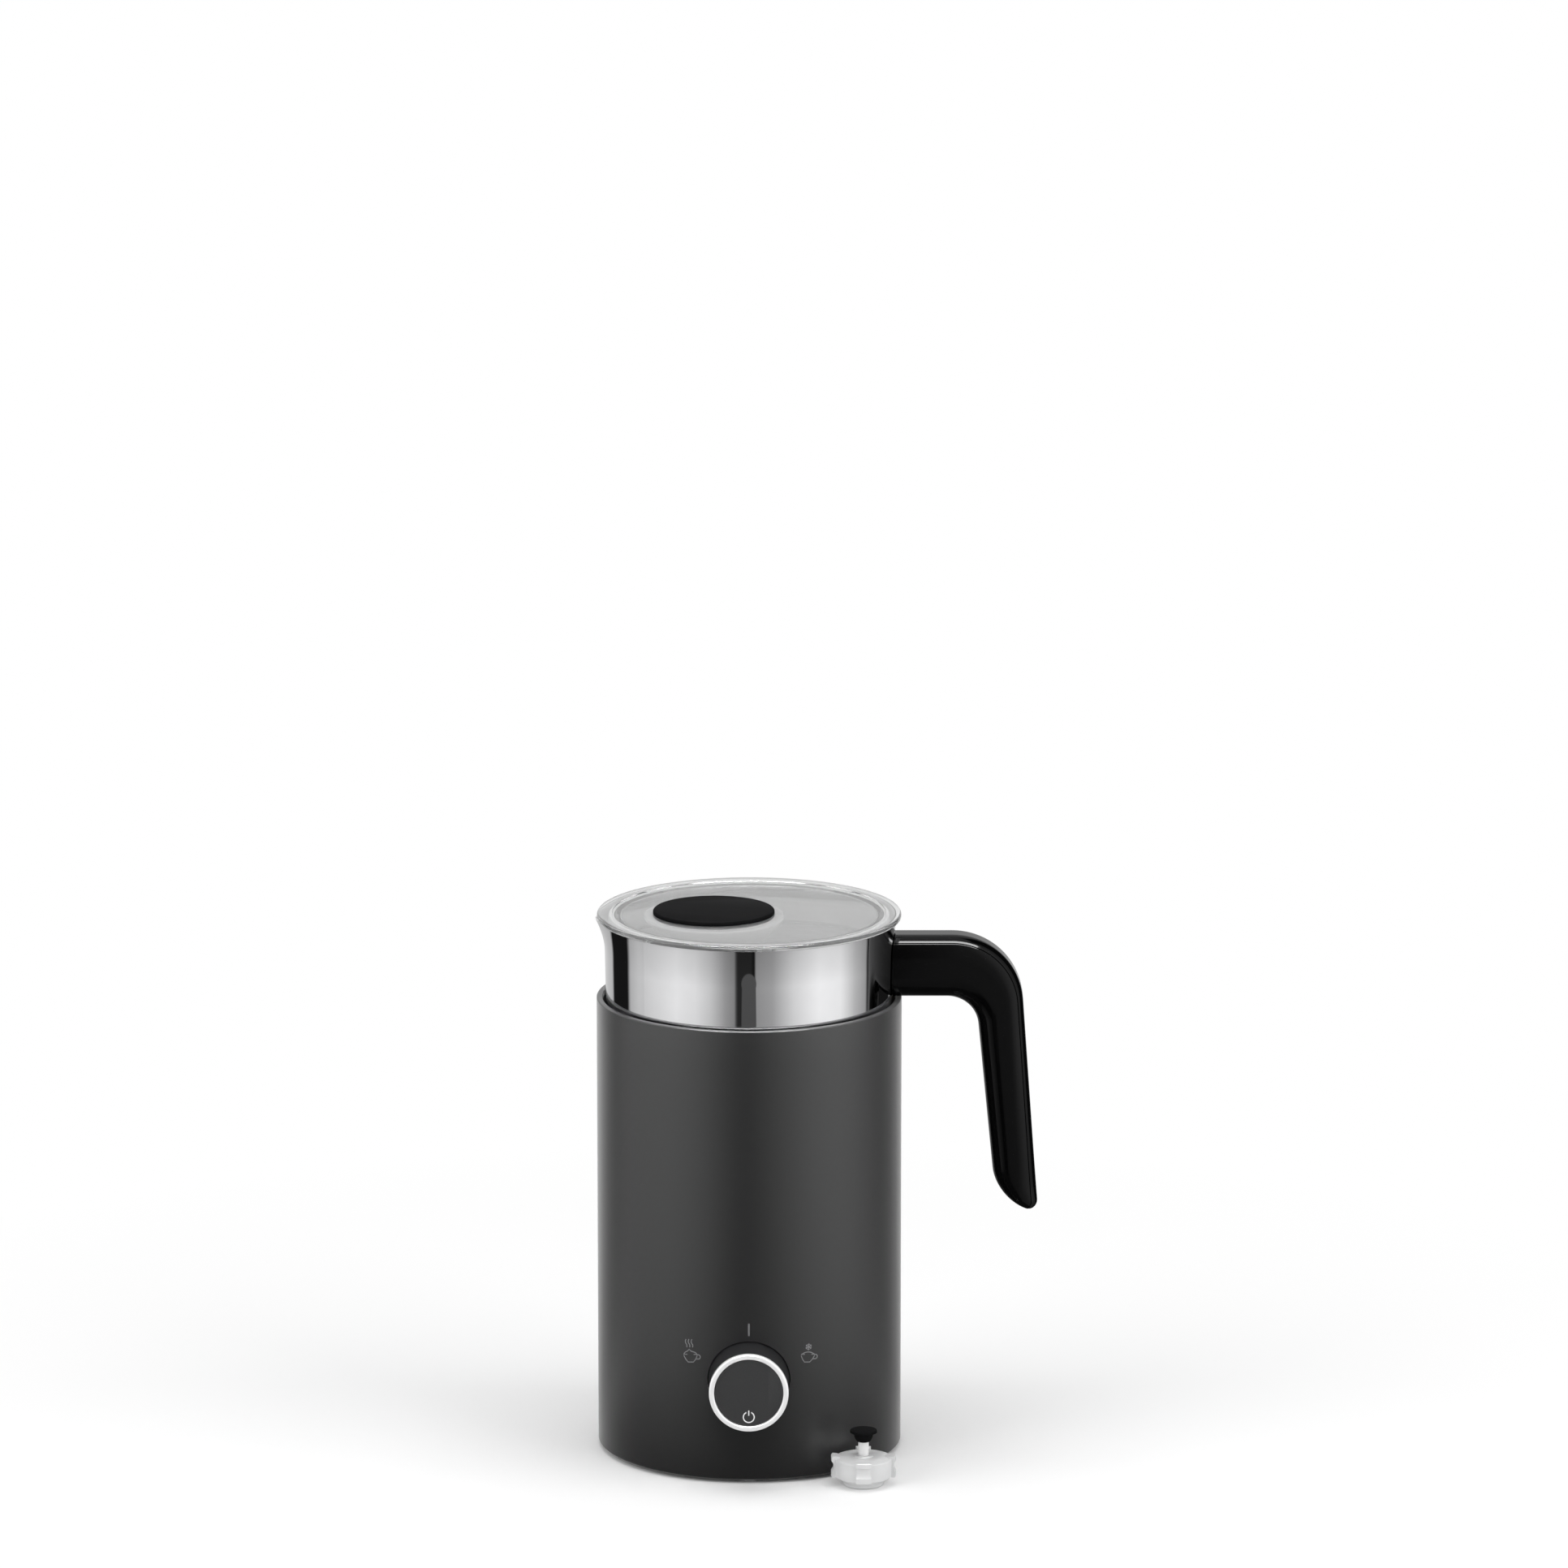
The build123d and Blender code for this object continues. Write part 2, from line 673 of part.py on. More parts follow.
# Base disc: the magnetic plate bonded under the jug that the coil heats.
with BuildPart() as jug_base_disc:
    with BuildSketch(Plane.XY.offset(seat_z)):
        Circle(disc_r)
    extrude(amount=disc_h)
    fillet(jug_base_disc.edges().group_by(Axis.Z)[0], radius=0.7)
jug_base_disc.part.label = "jug_base_disc"
export_step(jug_base_disc.part, "parts/jug_base_disc.step")

# ================================================================================ handle
# One closed outline: level arm, outer bend, a grip that leans out and a tighter inner bend. The
# tip is cut off by a slanting curve. The back strip is a separate cover along the outer edge.
lean_out = degrees(atan((grip_end_x - outer_bend_x - outer_bend) / (arm_top - outer_bend - grip_end_z)))
lean_in = degrees(atan((grip_inner_x - inner_bend_x - inner_bend) / (arm_bottom - inner_bend - grip_inner_z)))
blank_z = 4.0                   # the blank runs on past the tip to here
root_x = 40.0                   # and starts inside the jug
side_r = 6.5
pad_w = 12.0                    # bracket's pad, sunk into the handle's root
pad_h = 14.0
pad_x = 56.6
pad_play = 0.1


def handle_outline(inset=0.0):
    """Side view of the handle without its tip, the back edge moved in by inset."""
    back_x = grip_end_x - inset + (grip_end_z - blank_z) * sin(radians(lean_out))
    front_x = grip_inner_x + (grip_inner_z - blank_z) * sin(radians(lean_in))
    with BuildLine() as outline:
        arm = Line((root_x, arm_top - inset), (outer_bend_x, arm_top - inset))
        bend = JernArc(arm @ 1, (1, 0), outer_bend - inset, lean_out - 90)
        back = Line(bend @ 1, (back_x, blank_z))
        end = Line(back @ 1, (front_x, blank_z))
        palm = JernArc((inner_bend_x, arm_bottom), (1, 0), inner_bend, lean_in - 90)
        Line(end @ 1, palm @ 1)
        Line(palm @ 0, (root_x, arm_bottom))
        Line((root_x, arm_bottom), arm @ 0)
    make_face(outline.edges())


tongue_z0 = 107.0
tongue_z1 = 117.0
tongue_w = 9.0
tongue_end_x = 72.0
handle_screw_x = 64.0
with BuildPart() as handle_blank:
    with BuildSketch(jug_plane):
        handle_outline()
    extrude(amount=handle_depth / 2, both=True)
    flanks = handle_blank.faces().filter_by(Axis.Y)
    long_edges = flanks.edges().filter_by(
        lambda e: e.center().Z > seat_z + blank_z + 1.0 and e.center().X > root_x + 1.0
    )
    fillet(long_edges, radius=side_r)
    # slanting tip: a long curve up the inner side and a small round at the back
    with BuildSketch(jug_plane):
        with BuildLine() as tip:
            slant = ThreePointArc((grip_inner_x - 0.2, grip_inner_z + 2.0), (96.6, 28.0), (tip_x, tip_z))
            toe = TangentArc(slant @ 1, (grip_end_x + 1.5, tip_z + 4.6), tangent=slant % 1)
            Polyline(
                toe @ 1,
                (grip_end_x + 9.0, tip_z + 4.6),
                (grip_end_x + 9.0, 0),
                (grip_inner_x - 6.0, 0),
                (grip_inner_x - 6.0, grip_inner_z + 2.0),
                slant @ 0,
            )
        make_face(tip.edges())
    extrude(amount=handle_depth, both=True, mode=Mode.SUBTRACT)
    # the root is hollowed to follow the jug's wall
    with BuildSketch(jug_plane):
        jug_outline(-root_gap)
    revolve(axis=Axis.Z, mode=Mode.SUBTRACT)

# Grip: everything inside the back strip, with a slot for the bracket's tongue.
with BuildPart() as handle_grip:
    with BuildSketch(jug_plane):
        handle_outline(cover_t)
    extrude(amount=handle_depth / 2, both=True)
    add(handle_blank.part, mode=Mode.INTERSECT)
    with BuildSketch(jug_plane):
        with Locations(((root_x + tongue_end_x) / 2, (tongue_z0 + tongue_z1) / 2)):
            Rectangle(tongue_end_x - root_x, tongue_z1 - tongue_z0)
    extrude(amount=tongue_w / 2, both=True, mode=Mode.SUBTRACT)
    with BuildSketch(jug_plane):
        with Locations((pad_x + pad_play, (arm_top + arm_bottom) / 2)):
            Rectangle(8.0, pad_h + 2 * pad_play, align=(Align.MAX, Align.CENTER))
    extrude(amount=pad_w / 2 + pad_play, both=True, mode=Mode.SUBTRACT)
    with BuildSketch(Plane.XY.offset(seat_z + arm_bottom)):
        with Locations((handle_screw_x, 0)):
            Circle(3.1)
    extrude(amount=2.5, mode=Mode.SUBTRACT)
    with BuildSketch(Plane.XY.offset(seat_z + arm_bottom)):
        with Locations((handle_screw_x, 0)):
            Circle(screw_hole_r)
    extrude(amount=tongue_z0 - arm_bottom, mode=Mode.SUBTRACT)
handle_grip.part.label = "handle_grip"
export_step(handle_grip.part, "parts/handle_grip.step")

# Cover: the back strip from the top of the arm round to the tip.
with BuildPart() as handle_cover:
    add(handle_blank.part)
    with BuildSketch(jug_plane):
        handle_outline(cover_t)
    extrude(amount=handle_depth, both=True, mode=Mode.SUBTRACT)
handle_cover.part.label = "handle_cover"
export_step(handle_cover.part, "parts/handle_cover.step")

# Bracket: curved steel pad welded to the jug's wall, with a tongue that enters the grip.
with BuildPart() as handle_bracket:
    with BuildSketch(jug_plane):
        with Locations((pad_x, (arm_top + arm_bottom) / 2)):
            Rectangle(4.0, pad_h, align=(Align.MAX, Align.CENTER))
    extrude(amount=pad_w / 2, both=True)
    with BuildSketch(jug_plane):
        jug_outline(0)
    revolve(axis=Axis.Z, mode=Mode.SUBTRACT)
    with BuildSketch(jug_plane):
        with Locations((pad_x - 0.6, (tongue_z0 + tongue_z1) / 2)):
            Rectangle(tongue_end_x - pad_x + 0.6, tongue_z1 - tongue_z0, align=(Align.MIN, Align.CENTER))
    extrude(amount=tongue_w / 2, both=True)
    with BuildSketch(Plane.XY.offset(seat_z + tongue_z0)):
        with Locations((handle_screw_x, 0)):
            Circle(screw_r)
    extrude(amount=8.0, mode=Mode.SUBTRACT)
handle_bracket.part.label = "handle_bracket"
export_step(handle_bracket.part, "parts/handle_bracket.step")

# Handle screw: from under the arm into the tongue.
with BuildPart() as handle_screw:
    with BuildSketch(Plane.XY.offset(seat_z + arm_bottom + 0.6)):
        with Locations((handle_screw_x, 0)):
            Circle(2.9)
    extrude(amount=1.9)
    with BuildSketch(Plane.XY.offset(seat_z + arm_bottom + 2.5)):
        with Locations((handle_screw_x, 0)):
            Circle(screw_r)
    extrude(amount=tongue_z0 - arm_bottom - 2.5 + 8.0)
handle_screw.part.label = "handle_screw"
export_step(handle_screw.part, "parts/handle_screw.step")

# ================================================================================ lid
# Clear cover: a flange that rests on the jug's rim, a shallow recess on top, and a skirt with a
# lip that keeps the seal on.
lid_plane = profile_plane(lid_top)
lid_floor = lid_recess + lid_web_t
neck_hole_r = 21.4
with BuildPart() as lid_cover:
    with BuildSketch(lid_plane):
        with BuildLine():
            Polyline(
                (0, -lid_recess),
                (lid_recess_r, -lid_recess),
                (lid_recess_r, 0),
                (lid_r, 0),
                (lid_r, -flange_t),
                (skirt_r, -flange_t),
                (skirt_r, -seal_depth),
                (skirt_r + 1.0, -seal_depth),
                (skirt_r + 1.0, -skirt_depth),
                (skirt_inner_r, -skirt_depth),
                (skirt_inner_r, -lid_floor),
                (0, -lid_floor),
                close=True,
            )
        make_face()
    revolve(axis=Axis.Z)
    outer = lid_cover.edges().filter_by(GeomType.CIRCLE).filter_by(lambda e: e.radius > lid_r - 0.1)
    fillet(outer, radius=0.9)
    inner_bottom = lid_cover.edges().filter_by(GeomType.CIRCLE).group_by(Axis.Z)[0]
    fillet(inner_bottom, radius=0.5)
    with BuildSketch(Plane.XY.offset(lid_top)):
        with Locations((holder_x, 0)):
            Circle(neck_hole_r)
    extrude(amount=-lid_floor, mode=Mode.SUBTRACT)
lid_cover.part.label = "lid_cover"
export_step(lid_cover.part, "parts/lid_cover.step")

# Seal: soft milky band round the skirt, with a rounded lower edge.
with BuildPart() as lid_seal:
    with BuildSketch(Plane.XY.offset(lid_top - seal_depth)):
        Circle(seal_r)
        Circle(skirt_r, mode=Mode.SUBTRACT)
    extrude(amount=seal_depth - flange_t)
    fillet(lid_seal.edges().group_by(Axis.Z)[0].sort_by(SortBy.RADIUS)[-1], radius=0.9)
lid_seal.part.label = "lid_seal"
export_step(lid_seal.part, "parts/lid_seal.step")

# Cap: black disc that plugs the holder's neck through the lid and clamps both together.
spigot_len = 6.0
with BuildPart() as lid_cap:
    with BuildSketch(Plane.XY.offset(lid_top - lid_recess)):
        with Locations((holder_x, 0)):
            Circle(cap_r)
    extrude(amount=lid_recess + cap_proud)
    fillet(lid_cap.edges().group_by(Axis.Z)[-1], radius=0.8)
    with BuildSketch(Plane.XY.offset(lid_top - lid_recess)):
        with Locations((holder_x, 0)):
            Circle(spigot_r)
            Circle(spigot_r - 1.6, mode=Mode.SUBTRACT)
    extrude(amount=-spigot_len)
lid_cap.part.label = "lid_cap"
export_step(lid_cap.part, "parts/lid_cap.step")

# Whisk holder: a hollow bell under the lid, a stem that thins downwards, a flat fin on the
# outer side and an open fork that the whisk's cap hangs in.
holder_plane = Plane(origin=(holder_x, 0, lid_top), x_dir=(1, 0, 0), z_dir=(0, -1, 0))
holder_axis = Axis((holder_x, 0, 0), (0, 0, 1))
bell_top = lid_floor
bell_shoulder = lid_floor + 1.6
bell_slope = (bell_r - stem_top_r) / (bell_depth - bell_shoulder)
prong_t = 3.0
ledge_z = axle_top - 0.1        # what the whisk's cap rests on
fork_floor_z = ledge_z - prong_t
fork_top_z = axle_top + 6.9
fork_end_x = 3.4
fork_w = 12.6
channel_w = 10.7
channel_x = -10.4
slot_w = 4.5
prong_end_x = 10.7
prong_w = 9.0
fin_t = 2.0
fin_edge_x = -25.4
stem_x = holder_x + 0.5

with BuildPart() as whisk_holder:
    with BuildSketch(holder_plane):
        with BuildLine():
            Polyline(
                (0, -bell_shoulder - (bell_r - bell_wall) / bell_slope),
                (bell_r - bell_wall, -bell_shoulder),
                (spigot_r, -bell_shoulder),
                (spigot_r, -bell_top),
                (bell_r, -bell_top),
                (bell_r, -bell_shoulder),
                (stem_top_r, -bell_depth),
                (stem_top_r, -bell_depth - 8.0),
                (0, -bell_depth - 8.0),
                close=True,
            )
        make_face()
    revolve(axis=holder_axis)
    waist = whisk_holder.edges().filter_by(GeomType.CIRCLE).filter_by(
        lambda e: abs(e.radius - stem_top_r) < 0.01 and e.center().Z > lid_top - bell_depth - 1.0
    )
    fillet(waist, radius=5.0)
    with BuildSketch(Plane.XY.offset(lid_top - bell_depth - 7.0)):
        with Locations((holder_x, 0)):
            Circle(stem_top_r)
    with BuildSketch(Plane.XY.offset(ledge_z)):
        with Locations((stem_x, 0)):
            Circle(stem_foot_r)
    loft()
    # fin
    with BuildSketch(profile_plane(lid_top)):
        with BuildLine():
            edge = Line((stem_x - 2.8, -52.0), (-22.6, -70.0))
            sweep_in = TangentArc(edge @ 1, (fin_edge_x, -86.0), tangent=edge % 1)
            Polyline(
                sweep_in @ 1,
                (fin_edge_x + 0.2, fork_floor_z - lid_top),
                (stem_x, fork_floor_z - lid_top),
                (stem_x, -52.0),
                edge @ 0,
            )
        make_face()
        fin_corner = [v for v in vertices() if v.X < fin_edge_x + 1.0 and v.Y < fork_floor_z - lid_top + 1.0]
        fillet(fin_corner, radius=3.0)
    extrude(amount=fin_t / 2, both=True)
    # fork: solid ledge block with side walls that stand above it, then two prongs
    with BuildSketch(Plane.XY.offset(fork_floor_z)):
        with BuildLine():
            Polyline(
                (fork_end_x, fork_w / 2),
                (stem_x - 1.0, fork_w / 2),
                (stem_x - 1.0, -fork_w / 2),
                (fork_end_x, -fork_w / 2),
                close=True,
            )
        make_face()
        fillet([v for v in vertices() if v.X < 0], radius=4.0)
    extrude(amount=fork_top_z - fork_floor_z)
    with BuildSketch(Plane.XY.offset(ledge_z)):
        with Locations((fork_end_x, 0)):
            Rectangle(fork_end_x - channel_x, channel_w, align=(Align.MAX, Align.CENTER))
    extrude(amount=fork_top_z - ledge_z, mode=Mode.SUBTRACT)
    with BuildSketch(Plane.XY.offset(fork_floor_z)):
        with Locations((fork_end_x, 0)):
            Rectangle(prong_end_x - fork_end_x, prong_w, align=(Align.MIN, Align.CENTER))
        fillet([v for v in vertices() if v.X > prong_end_x - 0.1], radius=1.6)
    extrude(amount=prong_t)
    with BuildSketch(Plane.XY.offset(fork_floor_z)):
        Circle(slot_w / 2)
        with Locations((0, 0)):
            Rectangle(prong_end_x + 1.0, slot_w, align=(Align.MIN, Align.CENTER))
    extrude(amount=ledge_z - fork_floor_z, mode=Mode.SUBTRACT)
whisk_holder.part.label = "whisk_holder"
export_step(whisk_holder.part, "parts/whisk_holder.step")

# ================================================================================ whisk
# Cap: a flat flange over a small bowl whose foot hangs on the fork's ledge.
whisk_plane = profile_plane(hub_z)
with BuildPart() as whisk_cap:
    with BuildSketch(whisk_plane):
        with BuildLine():
            Polyline((0, axle_end), (slot_w / 2 + 0.25, axle_end))
            RadiusArc((slot_w / 2 + 0.25, axle_end), (3.6, axle_end + cap_h - 0.9), -4.5)
            Polyline(
                (3.6, axle_end + cap_h - 0.9),
                (cap_flange_r, axle_end + cap_h - 0.9),
                (cap_flange_r, axle_end + cap_h),
                (0, axle_end + cap_h),
                (0, axle_end),
            )
        make_face()
    revolve(axis=Axis.Z)
    fillet(whisk_cap.edges().group_by(Axis.Z)[-1], radius=0.3)
whisk_cap.part.label = "whisk_cap"
export_step(whisk_cap.part, "parts/whisk_cap.step")

# Axle: plain pin with a small foot that keeps the hub on.
axle_foot_z = 3.4               # lowest place of the foot in the hub
axle_foot_h = 1.2
axle_hung_z = axle_foot_z + axle_play
with BuildPart() as whisk_axle:
    with BuildSketch(whisk_plane):
        with BuildLine():
            Polyline(
                (0, axle_hung_z),
                (axle_r + 0.6, axle_hung_z),
                (axle_r + 0.6, axle_hung_z + axle_foot_h),
                (axle_r, axle_hung_z + axle_foot_h),
                (axle_r, axle_end),
                (0, axle_end),
                close=True,
            )
        make_face()
    revolve(axis=Axis.Z)
whisk_axle.part.label = "whisk_axle"
export_step(whisk_axle.part, "parts/whisk_axle.step")

# Hub: a small wheel that widens upwards, with a domed top and collar, four grooved tabs that
# hold the coiled ring, pockets for the magnets and a stepped bore for the axle's foot.
magnet_pocket_r = 1.9
magnet_circle_r = 5.3
magnet_len = 2.4
groove_play = 0.08
with BuildPart() as whisk_hub:
    with BuildSketch(whisk_plane):
        with BuildLine():
            Polyline(
                (0, 0),
                (hub_base_r, 0),
                (hub_base_r, 1.4),
                (hub_r - 0.3, 3.3),
                (hub_r, rim_z),
            )
            RadiusArc((hub_r, rim_z), (collar_r, rim_z + 0.7), -24.0)
            Polyline((collar_r, rim_z + 0.7), (collar_r, collar_h), (0, collar_h), (0, 0))
        make_face()
    revolve(axis=Axis.Z)
    for tab in range(4):
        turn = radians(90 * tab)
        tab_plane = Plane(origin=(0, 0, hub_z), x_dir=(cos(turn), sin(turn), 0), z_dir=(sin(turn), -cos(turn), 0))
        with BuildSketch(tab_plane):
            with BuildLine():
                Polyline(
                    (hub_r - 1.5, 3.2),
                    (tab_r, 3.2),
                    (tab_r, collar_h),
                    (hub_r - 0.4, collar_h),
                    (hub_r - 1.5, rim_z),
                    close=True,
                )
            make_face()
        extrude(amount=tab_w / 2, both=True)
    # the groove follows the ring right round, so it is a turned cut through all four tabs
    with BuildSketch(whisk_plane):
        with Locations((ring_r, ring_z)):
            Circle(coil_r + groove_play)
    revolve(axis=Axis.Z, mode=Mode.SUBTRACT)
    with BuildSketch(Plane.XY.offset(hub_z + axle_foot_z - 0.1)):
        Circle(axle_r + 0.6 + running)
    extrude(amount=axle_foot_h + axle_play + 0.2, mode=Mode.SUBTRACT)
    with BuildSketch(Plane.XY.offset(hub_z + axle_foot_z)):
        Circle(axle_r + running)
    extrude(amount=collar_h, mode=Mode.SUBTRACT)
    with BuildSketch(Plane.XY.offset(hub_z)):
        with PolarLocations(magnet_circle_r, 4, start_angle=45):
            Circle(magnet_pocket_r)
    extrude(amount=magnet_len, mode=Mode.SUBTRACT)
whisk_hub.part.label = "whisk_hub"
export_step(whisk_hub.part, "parts/whisk_hub.step")

with BuildPart() as whisk_magnets:
    with BuildSketch(Plane.XY.offset(hub_z)):
        with PolarLocations(magnet_circle_r, 4, start_angle=45):
            Circle(magnet_pocket_r)
    extrude(amount=magnet_len)
whisk_magnets.part.label = "whisk_magnets"
export_step(whisk_magnets.part, "parts/whisk_magnets.step")

# Coiled ring: the envelope of the steel coil that sits in the tabs' grooves.
with BuildPart() as whisk_coil:
    with BuildSketch(whisk_plane):
        with Locations((ring_r, ring_z)):
            Circle(coil_r)
            Circle(coil_r - 0.6, mode=Mode.SUBTRACT)
    revolve(axis=Axis.Z)
whisk_coil.part.label = "whisk_coil"
export_step(whisk_coil.part, "parts/whisk_coil.step")

# ================================================================================ spare stirrer
# The same hub, axle and cap without the ring, standing on the table in front of the base. Its
# pin has slid down through the hub by the play that a hanging whisk takes up.
spare_place = (spare_x, spare_y, -hub_z)
spare_pin_place = (spare_x, spare_y, -hub_z - axle_play)
with BuildPart() as spare_cap:
    with Locations(spare_pin_place):
        add(whisk_cap.part)
spare_cap.part.label = "spare_cap"
export_step(spare_cap.part, "parts/spare_cap.step")

with BuildPart() as spare_axle:
    with Locations(spare_pin_place):
        add(whisk_axle.part)
spare_axle.part.label = "spare_axle"
export_step(spare_axle.part, "parts/spare_axle.step")

with BuildPart() as spare_hub:
    with Locations(spare_place):
        add(whisk_hub.part)
spare_hub.part.label = "spare_hub"
export_step(spare_hub.part, "parts/spare_hub.step")

with BuildPart() as spare_magnets:
    with Locations(spare_place):
        add(whisk_magnets.part)
spare_magnets.part.label = "spare_magnets"
export_step(spare_magnets.part, "parts/spare_magnets.step")
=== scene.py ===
import bmesh
import bpy
from math import acos, asin, atan, atan2, cos, hypot, pi, radians, sin, tan
from mathutils import Matrix, Vector


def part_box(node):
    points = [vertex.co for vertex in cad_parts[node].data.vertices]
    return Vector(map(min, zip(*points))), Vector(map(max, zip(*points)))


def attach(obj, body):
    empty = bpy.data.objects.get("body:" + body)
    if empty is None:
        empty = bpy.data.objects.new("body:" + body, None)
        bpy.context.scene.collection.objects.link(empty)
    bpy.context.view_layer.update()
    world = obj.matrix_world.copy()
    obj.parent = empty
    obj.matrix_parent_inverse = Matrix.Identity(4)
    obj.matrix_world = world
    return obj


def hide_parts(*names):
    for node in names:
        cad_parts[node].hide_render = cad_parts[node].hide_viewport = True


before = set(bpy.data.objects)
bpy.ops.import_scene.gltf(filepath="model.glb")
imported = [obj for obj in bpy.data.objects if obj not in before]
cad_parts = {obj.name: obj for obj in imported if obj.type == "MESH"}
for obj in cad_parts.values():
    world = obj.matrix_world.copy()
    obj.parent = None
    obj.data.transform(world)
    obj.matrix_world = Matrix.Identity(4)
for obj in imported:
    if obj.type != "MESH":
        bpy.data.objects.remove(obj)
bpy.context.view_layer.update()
scene = bpy.context.scene
mm = 0.001

# ---------------------------------------------------------------------------------------------
# Housing: a round steel tube with a fine black powder coat, turned in at its rim over the well's
# liner, with a lighter coat on the rim's top as a painted highlight. Round holes take the knob in
# front and the cord gland at the back, and three bosses inside take the base screws.
# ---------------------------------------------------------------------------------------------


def new_material(name, roughness, metallic=0.0):
    """A node material and its Principled shader."""
    material = bpy.data.materials.new(name)
    material.use_nodes = True
    shader = material.node_tree.nodes["Principled BSDF"]
    shader.inputs["Roughness"].default_value = roughness
    shader.inputs["Metallic"].default_value = metallic
    return material, shader


def grain(material, shader, dark, light, scale, bump, spread=0.0, stretch=(1, 1, 1), detail=4.0):
    """Fine mottling between two tones with a matching bump and a little roughness change."""
    tree = material.node_tree
    place = tree.nodes.new("ShaderNodeTexCoord")
    mapping = tree.nodes.new("ShaderNodeMapping")
    mapping.inputs["Scale"].default_value = stretch
    noise = tree.nodes.new("ShaderNodeTexNoise")
    noise.inputs["Scale"].default_value = scale
    noise.inputs["Detail"].default_value = detail
    ramp = tree.nodes.new("ShaderNodeValToRGB")
    ramp.color_ramp.elements[0].position = 0.3
    ramp.color_ramp.elements[0].color = (*dark, 1)
    ramp.color_ramp.elements[1].position = 0.7
    ramp.color_ramp.elements[1].color = (*light, 1)
    tree.links.new(place.outputs["Object"], mapping.inputs["Vector"])
    tree.links.new(mapping.outputs["Vector"], noise.inputs["Vector"])
    tree.links.new(noise.outputs["Fac"], ramp.inputs["Fac"])
    tree.links.new(ramp.outputs["Color"], shader.inputs["Base Color"])
    if spread:
        level = shader.inputs["Roughness"].default_value
        rough = tree.nodes.new("ShaderNodeMapRange")
        rough.inputs["To Min"].default_value = level - spread
        rough.inputs["To Max"].default_value = level + spread
        tree.links.new(noise.outputs["Fac"], rough.inputs["Value"])
        tree.links.new(rough.outputs["Result"], shader.inputs["Roughness"])
    if bump:
        relief = tree.nodes.new("ShaderNodeBump")
        relief.inputs["Strength"].default_value = bump
        relief.inputs["Distance"].default_value = 0.05 * mm
        tree.links.new(noise.outputs["Fac"], relief.inputs["Height"])
        tree.links.new(relief.outputs["Normal"], shader.inputs["Normal"])
    return noise


real_edge = radians(32)


def coat(node_name, material):
    """Gives a carried-over solid its finish, shaded smoothly between its real edges."""
    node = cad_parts[node_name]
    for face in node.data.polygons:
        face.use_smooth = True
    weld = node.modifiers.new("weld", "WELD")
    weld.merge_threshold = 0.001 * mm
    split = node.modifiers.new("edges", "EDGE_SPLIT")
    split.split_angle = real_edge
    node.data.materials.clear()
    node.data.materials.append(material)


def loose_object(name, bm):
    """Turns a bmesh into an object of the same name."""
    mesh = bpy.data.meshes.new(name)
    bm.to_mesh(mesh)
    bm.free()
    thing = bpy.data.objects.new(name, mesh)
    scene.collection.objects.link(thing)
    return thing


def finish_piece(name, bm, material, body):
    """Turns a bmesh into a piece that rides on a body."""
    piece = loose_object(name, bm)
    piece.data.materials.append(material)
    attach(piece, body)
    return piece


def shade(mesh, angle):
    """Smooth shading broken at real edges, given in degrees."""
    for face in mesh.polygons:
        face.use_smooth = True
    mesh.set_sharp_from_angle(angle=radians(angle))


def even_flats(piece):
    """Keeps large flat faces flat beside their small roundings."""
    even = piece.modifiers.new("even", "WEIGHTED_NORMAL")
    even.keep_sharp = True
    even.weight = 100


def bow(cx, cz, r, start, end, steps):
    """Points along an arc of a profile, angles in radians."""
    turns = [start + (end - start) * i / steps for i in range(steps + 1)]
    return [(cx + r * cos(turn), cz + r * sin(turn)) for turn in turns]


def spin_round(bm, geom, steps):
    """Spins part of a bmesh once round the upright axis."""
    bmesh.ops.spin(
        bm, geom=geom, cent=(0, 0, 0), axis=(0, 0, 1), angle=2 * pi, steps=steps, use_merge=True)


def turned_mesh(line, steps, hole_r=0.0, hole_x=0.0):
    """Closed ring turned from a closed outline; the rings of radius hole_r move aside by hole_x."""
    bm = bmesh.new()
    spots = [bm.verts.new((r, 0, z)) for r, z in line]
    edges = [bm.edges.new(pair) for pair in zip(spots, spots[1:] + spots[:1])]
    spin_round(bm, spots + edges, steps)
    for vert in bm.verts:
        if abs(hypot(vert.co.x, vert.co.y) - hole_r) < 0.01 * mm:
            vert.co.x += hole_x
    bmesh.ops.recalc_face_normals(bm, faces=bm.faces[:])
    return bm


def spin_profile(bm, points, steps, lift=0.0):
    """Turns a half outline of (radius, height) round the upright axis."""
    line = [bm.verts.new((r, 0, z + lift)) for r, z in points]
    edges = [bm.edges.new(pair) for pair in zip(line, line[1:])]
    spin_round(bm, line + edges, steps)
    bmesh.ops.remove_doubles(bm, verts=bm.verts[:], dist=0.002 * mm)
    bmesh.ops.recalc_face_normals(bm, faces=bm.faces[:])


powder_coat, powder_shader = new_material("powder_coat", 0.38)
grain(powder_coat, powder_shader, (0.004, 0.004, 0.0042), (0.006, 0.006, 0.0062), 2600.0, 0.2, spread=0.03)
powder_shader.inputs["Specular IOR Level"].default_value = 0.88
powder_shader.inputs["Sheen Weight"].default_value = 0.7
powder_shader.inputs["Sheen Roughness"].default_value = 0.35
coat("housing_shell", powder_coat)
housing_low, housing_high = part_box("housing_shell")
ring_low, ring_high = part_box("knob_trim_ring")
gland_low, gland_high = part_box("cord_gland")
housing_r, rim_z, under_z = housing_high.x, housing_high.z, housing_low.z
knob_z, gland_z = (ring_low.z + ring_high.z) / 2, (gland_low.z + gland_high.z) / 2
wall_t, well_r, lip_h = 1.4 * mm, 55.7 * mm, 2.0 * mm
tube_r = housing_r - wall_t
knob_hole_r, gland_hole_r, drill_h, fine_steps = 15.7 * mm, 4.6 * mm, 30 * mm, 240
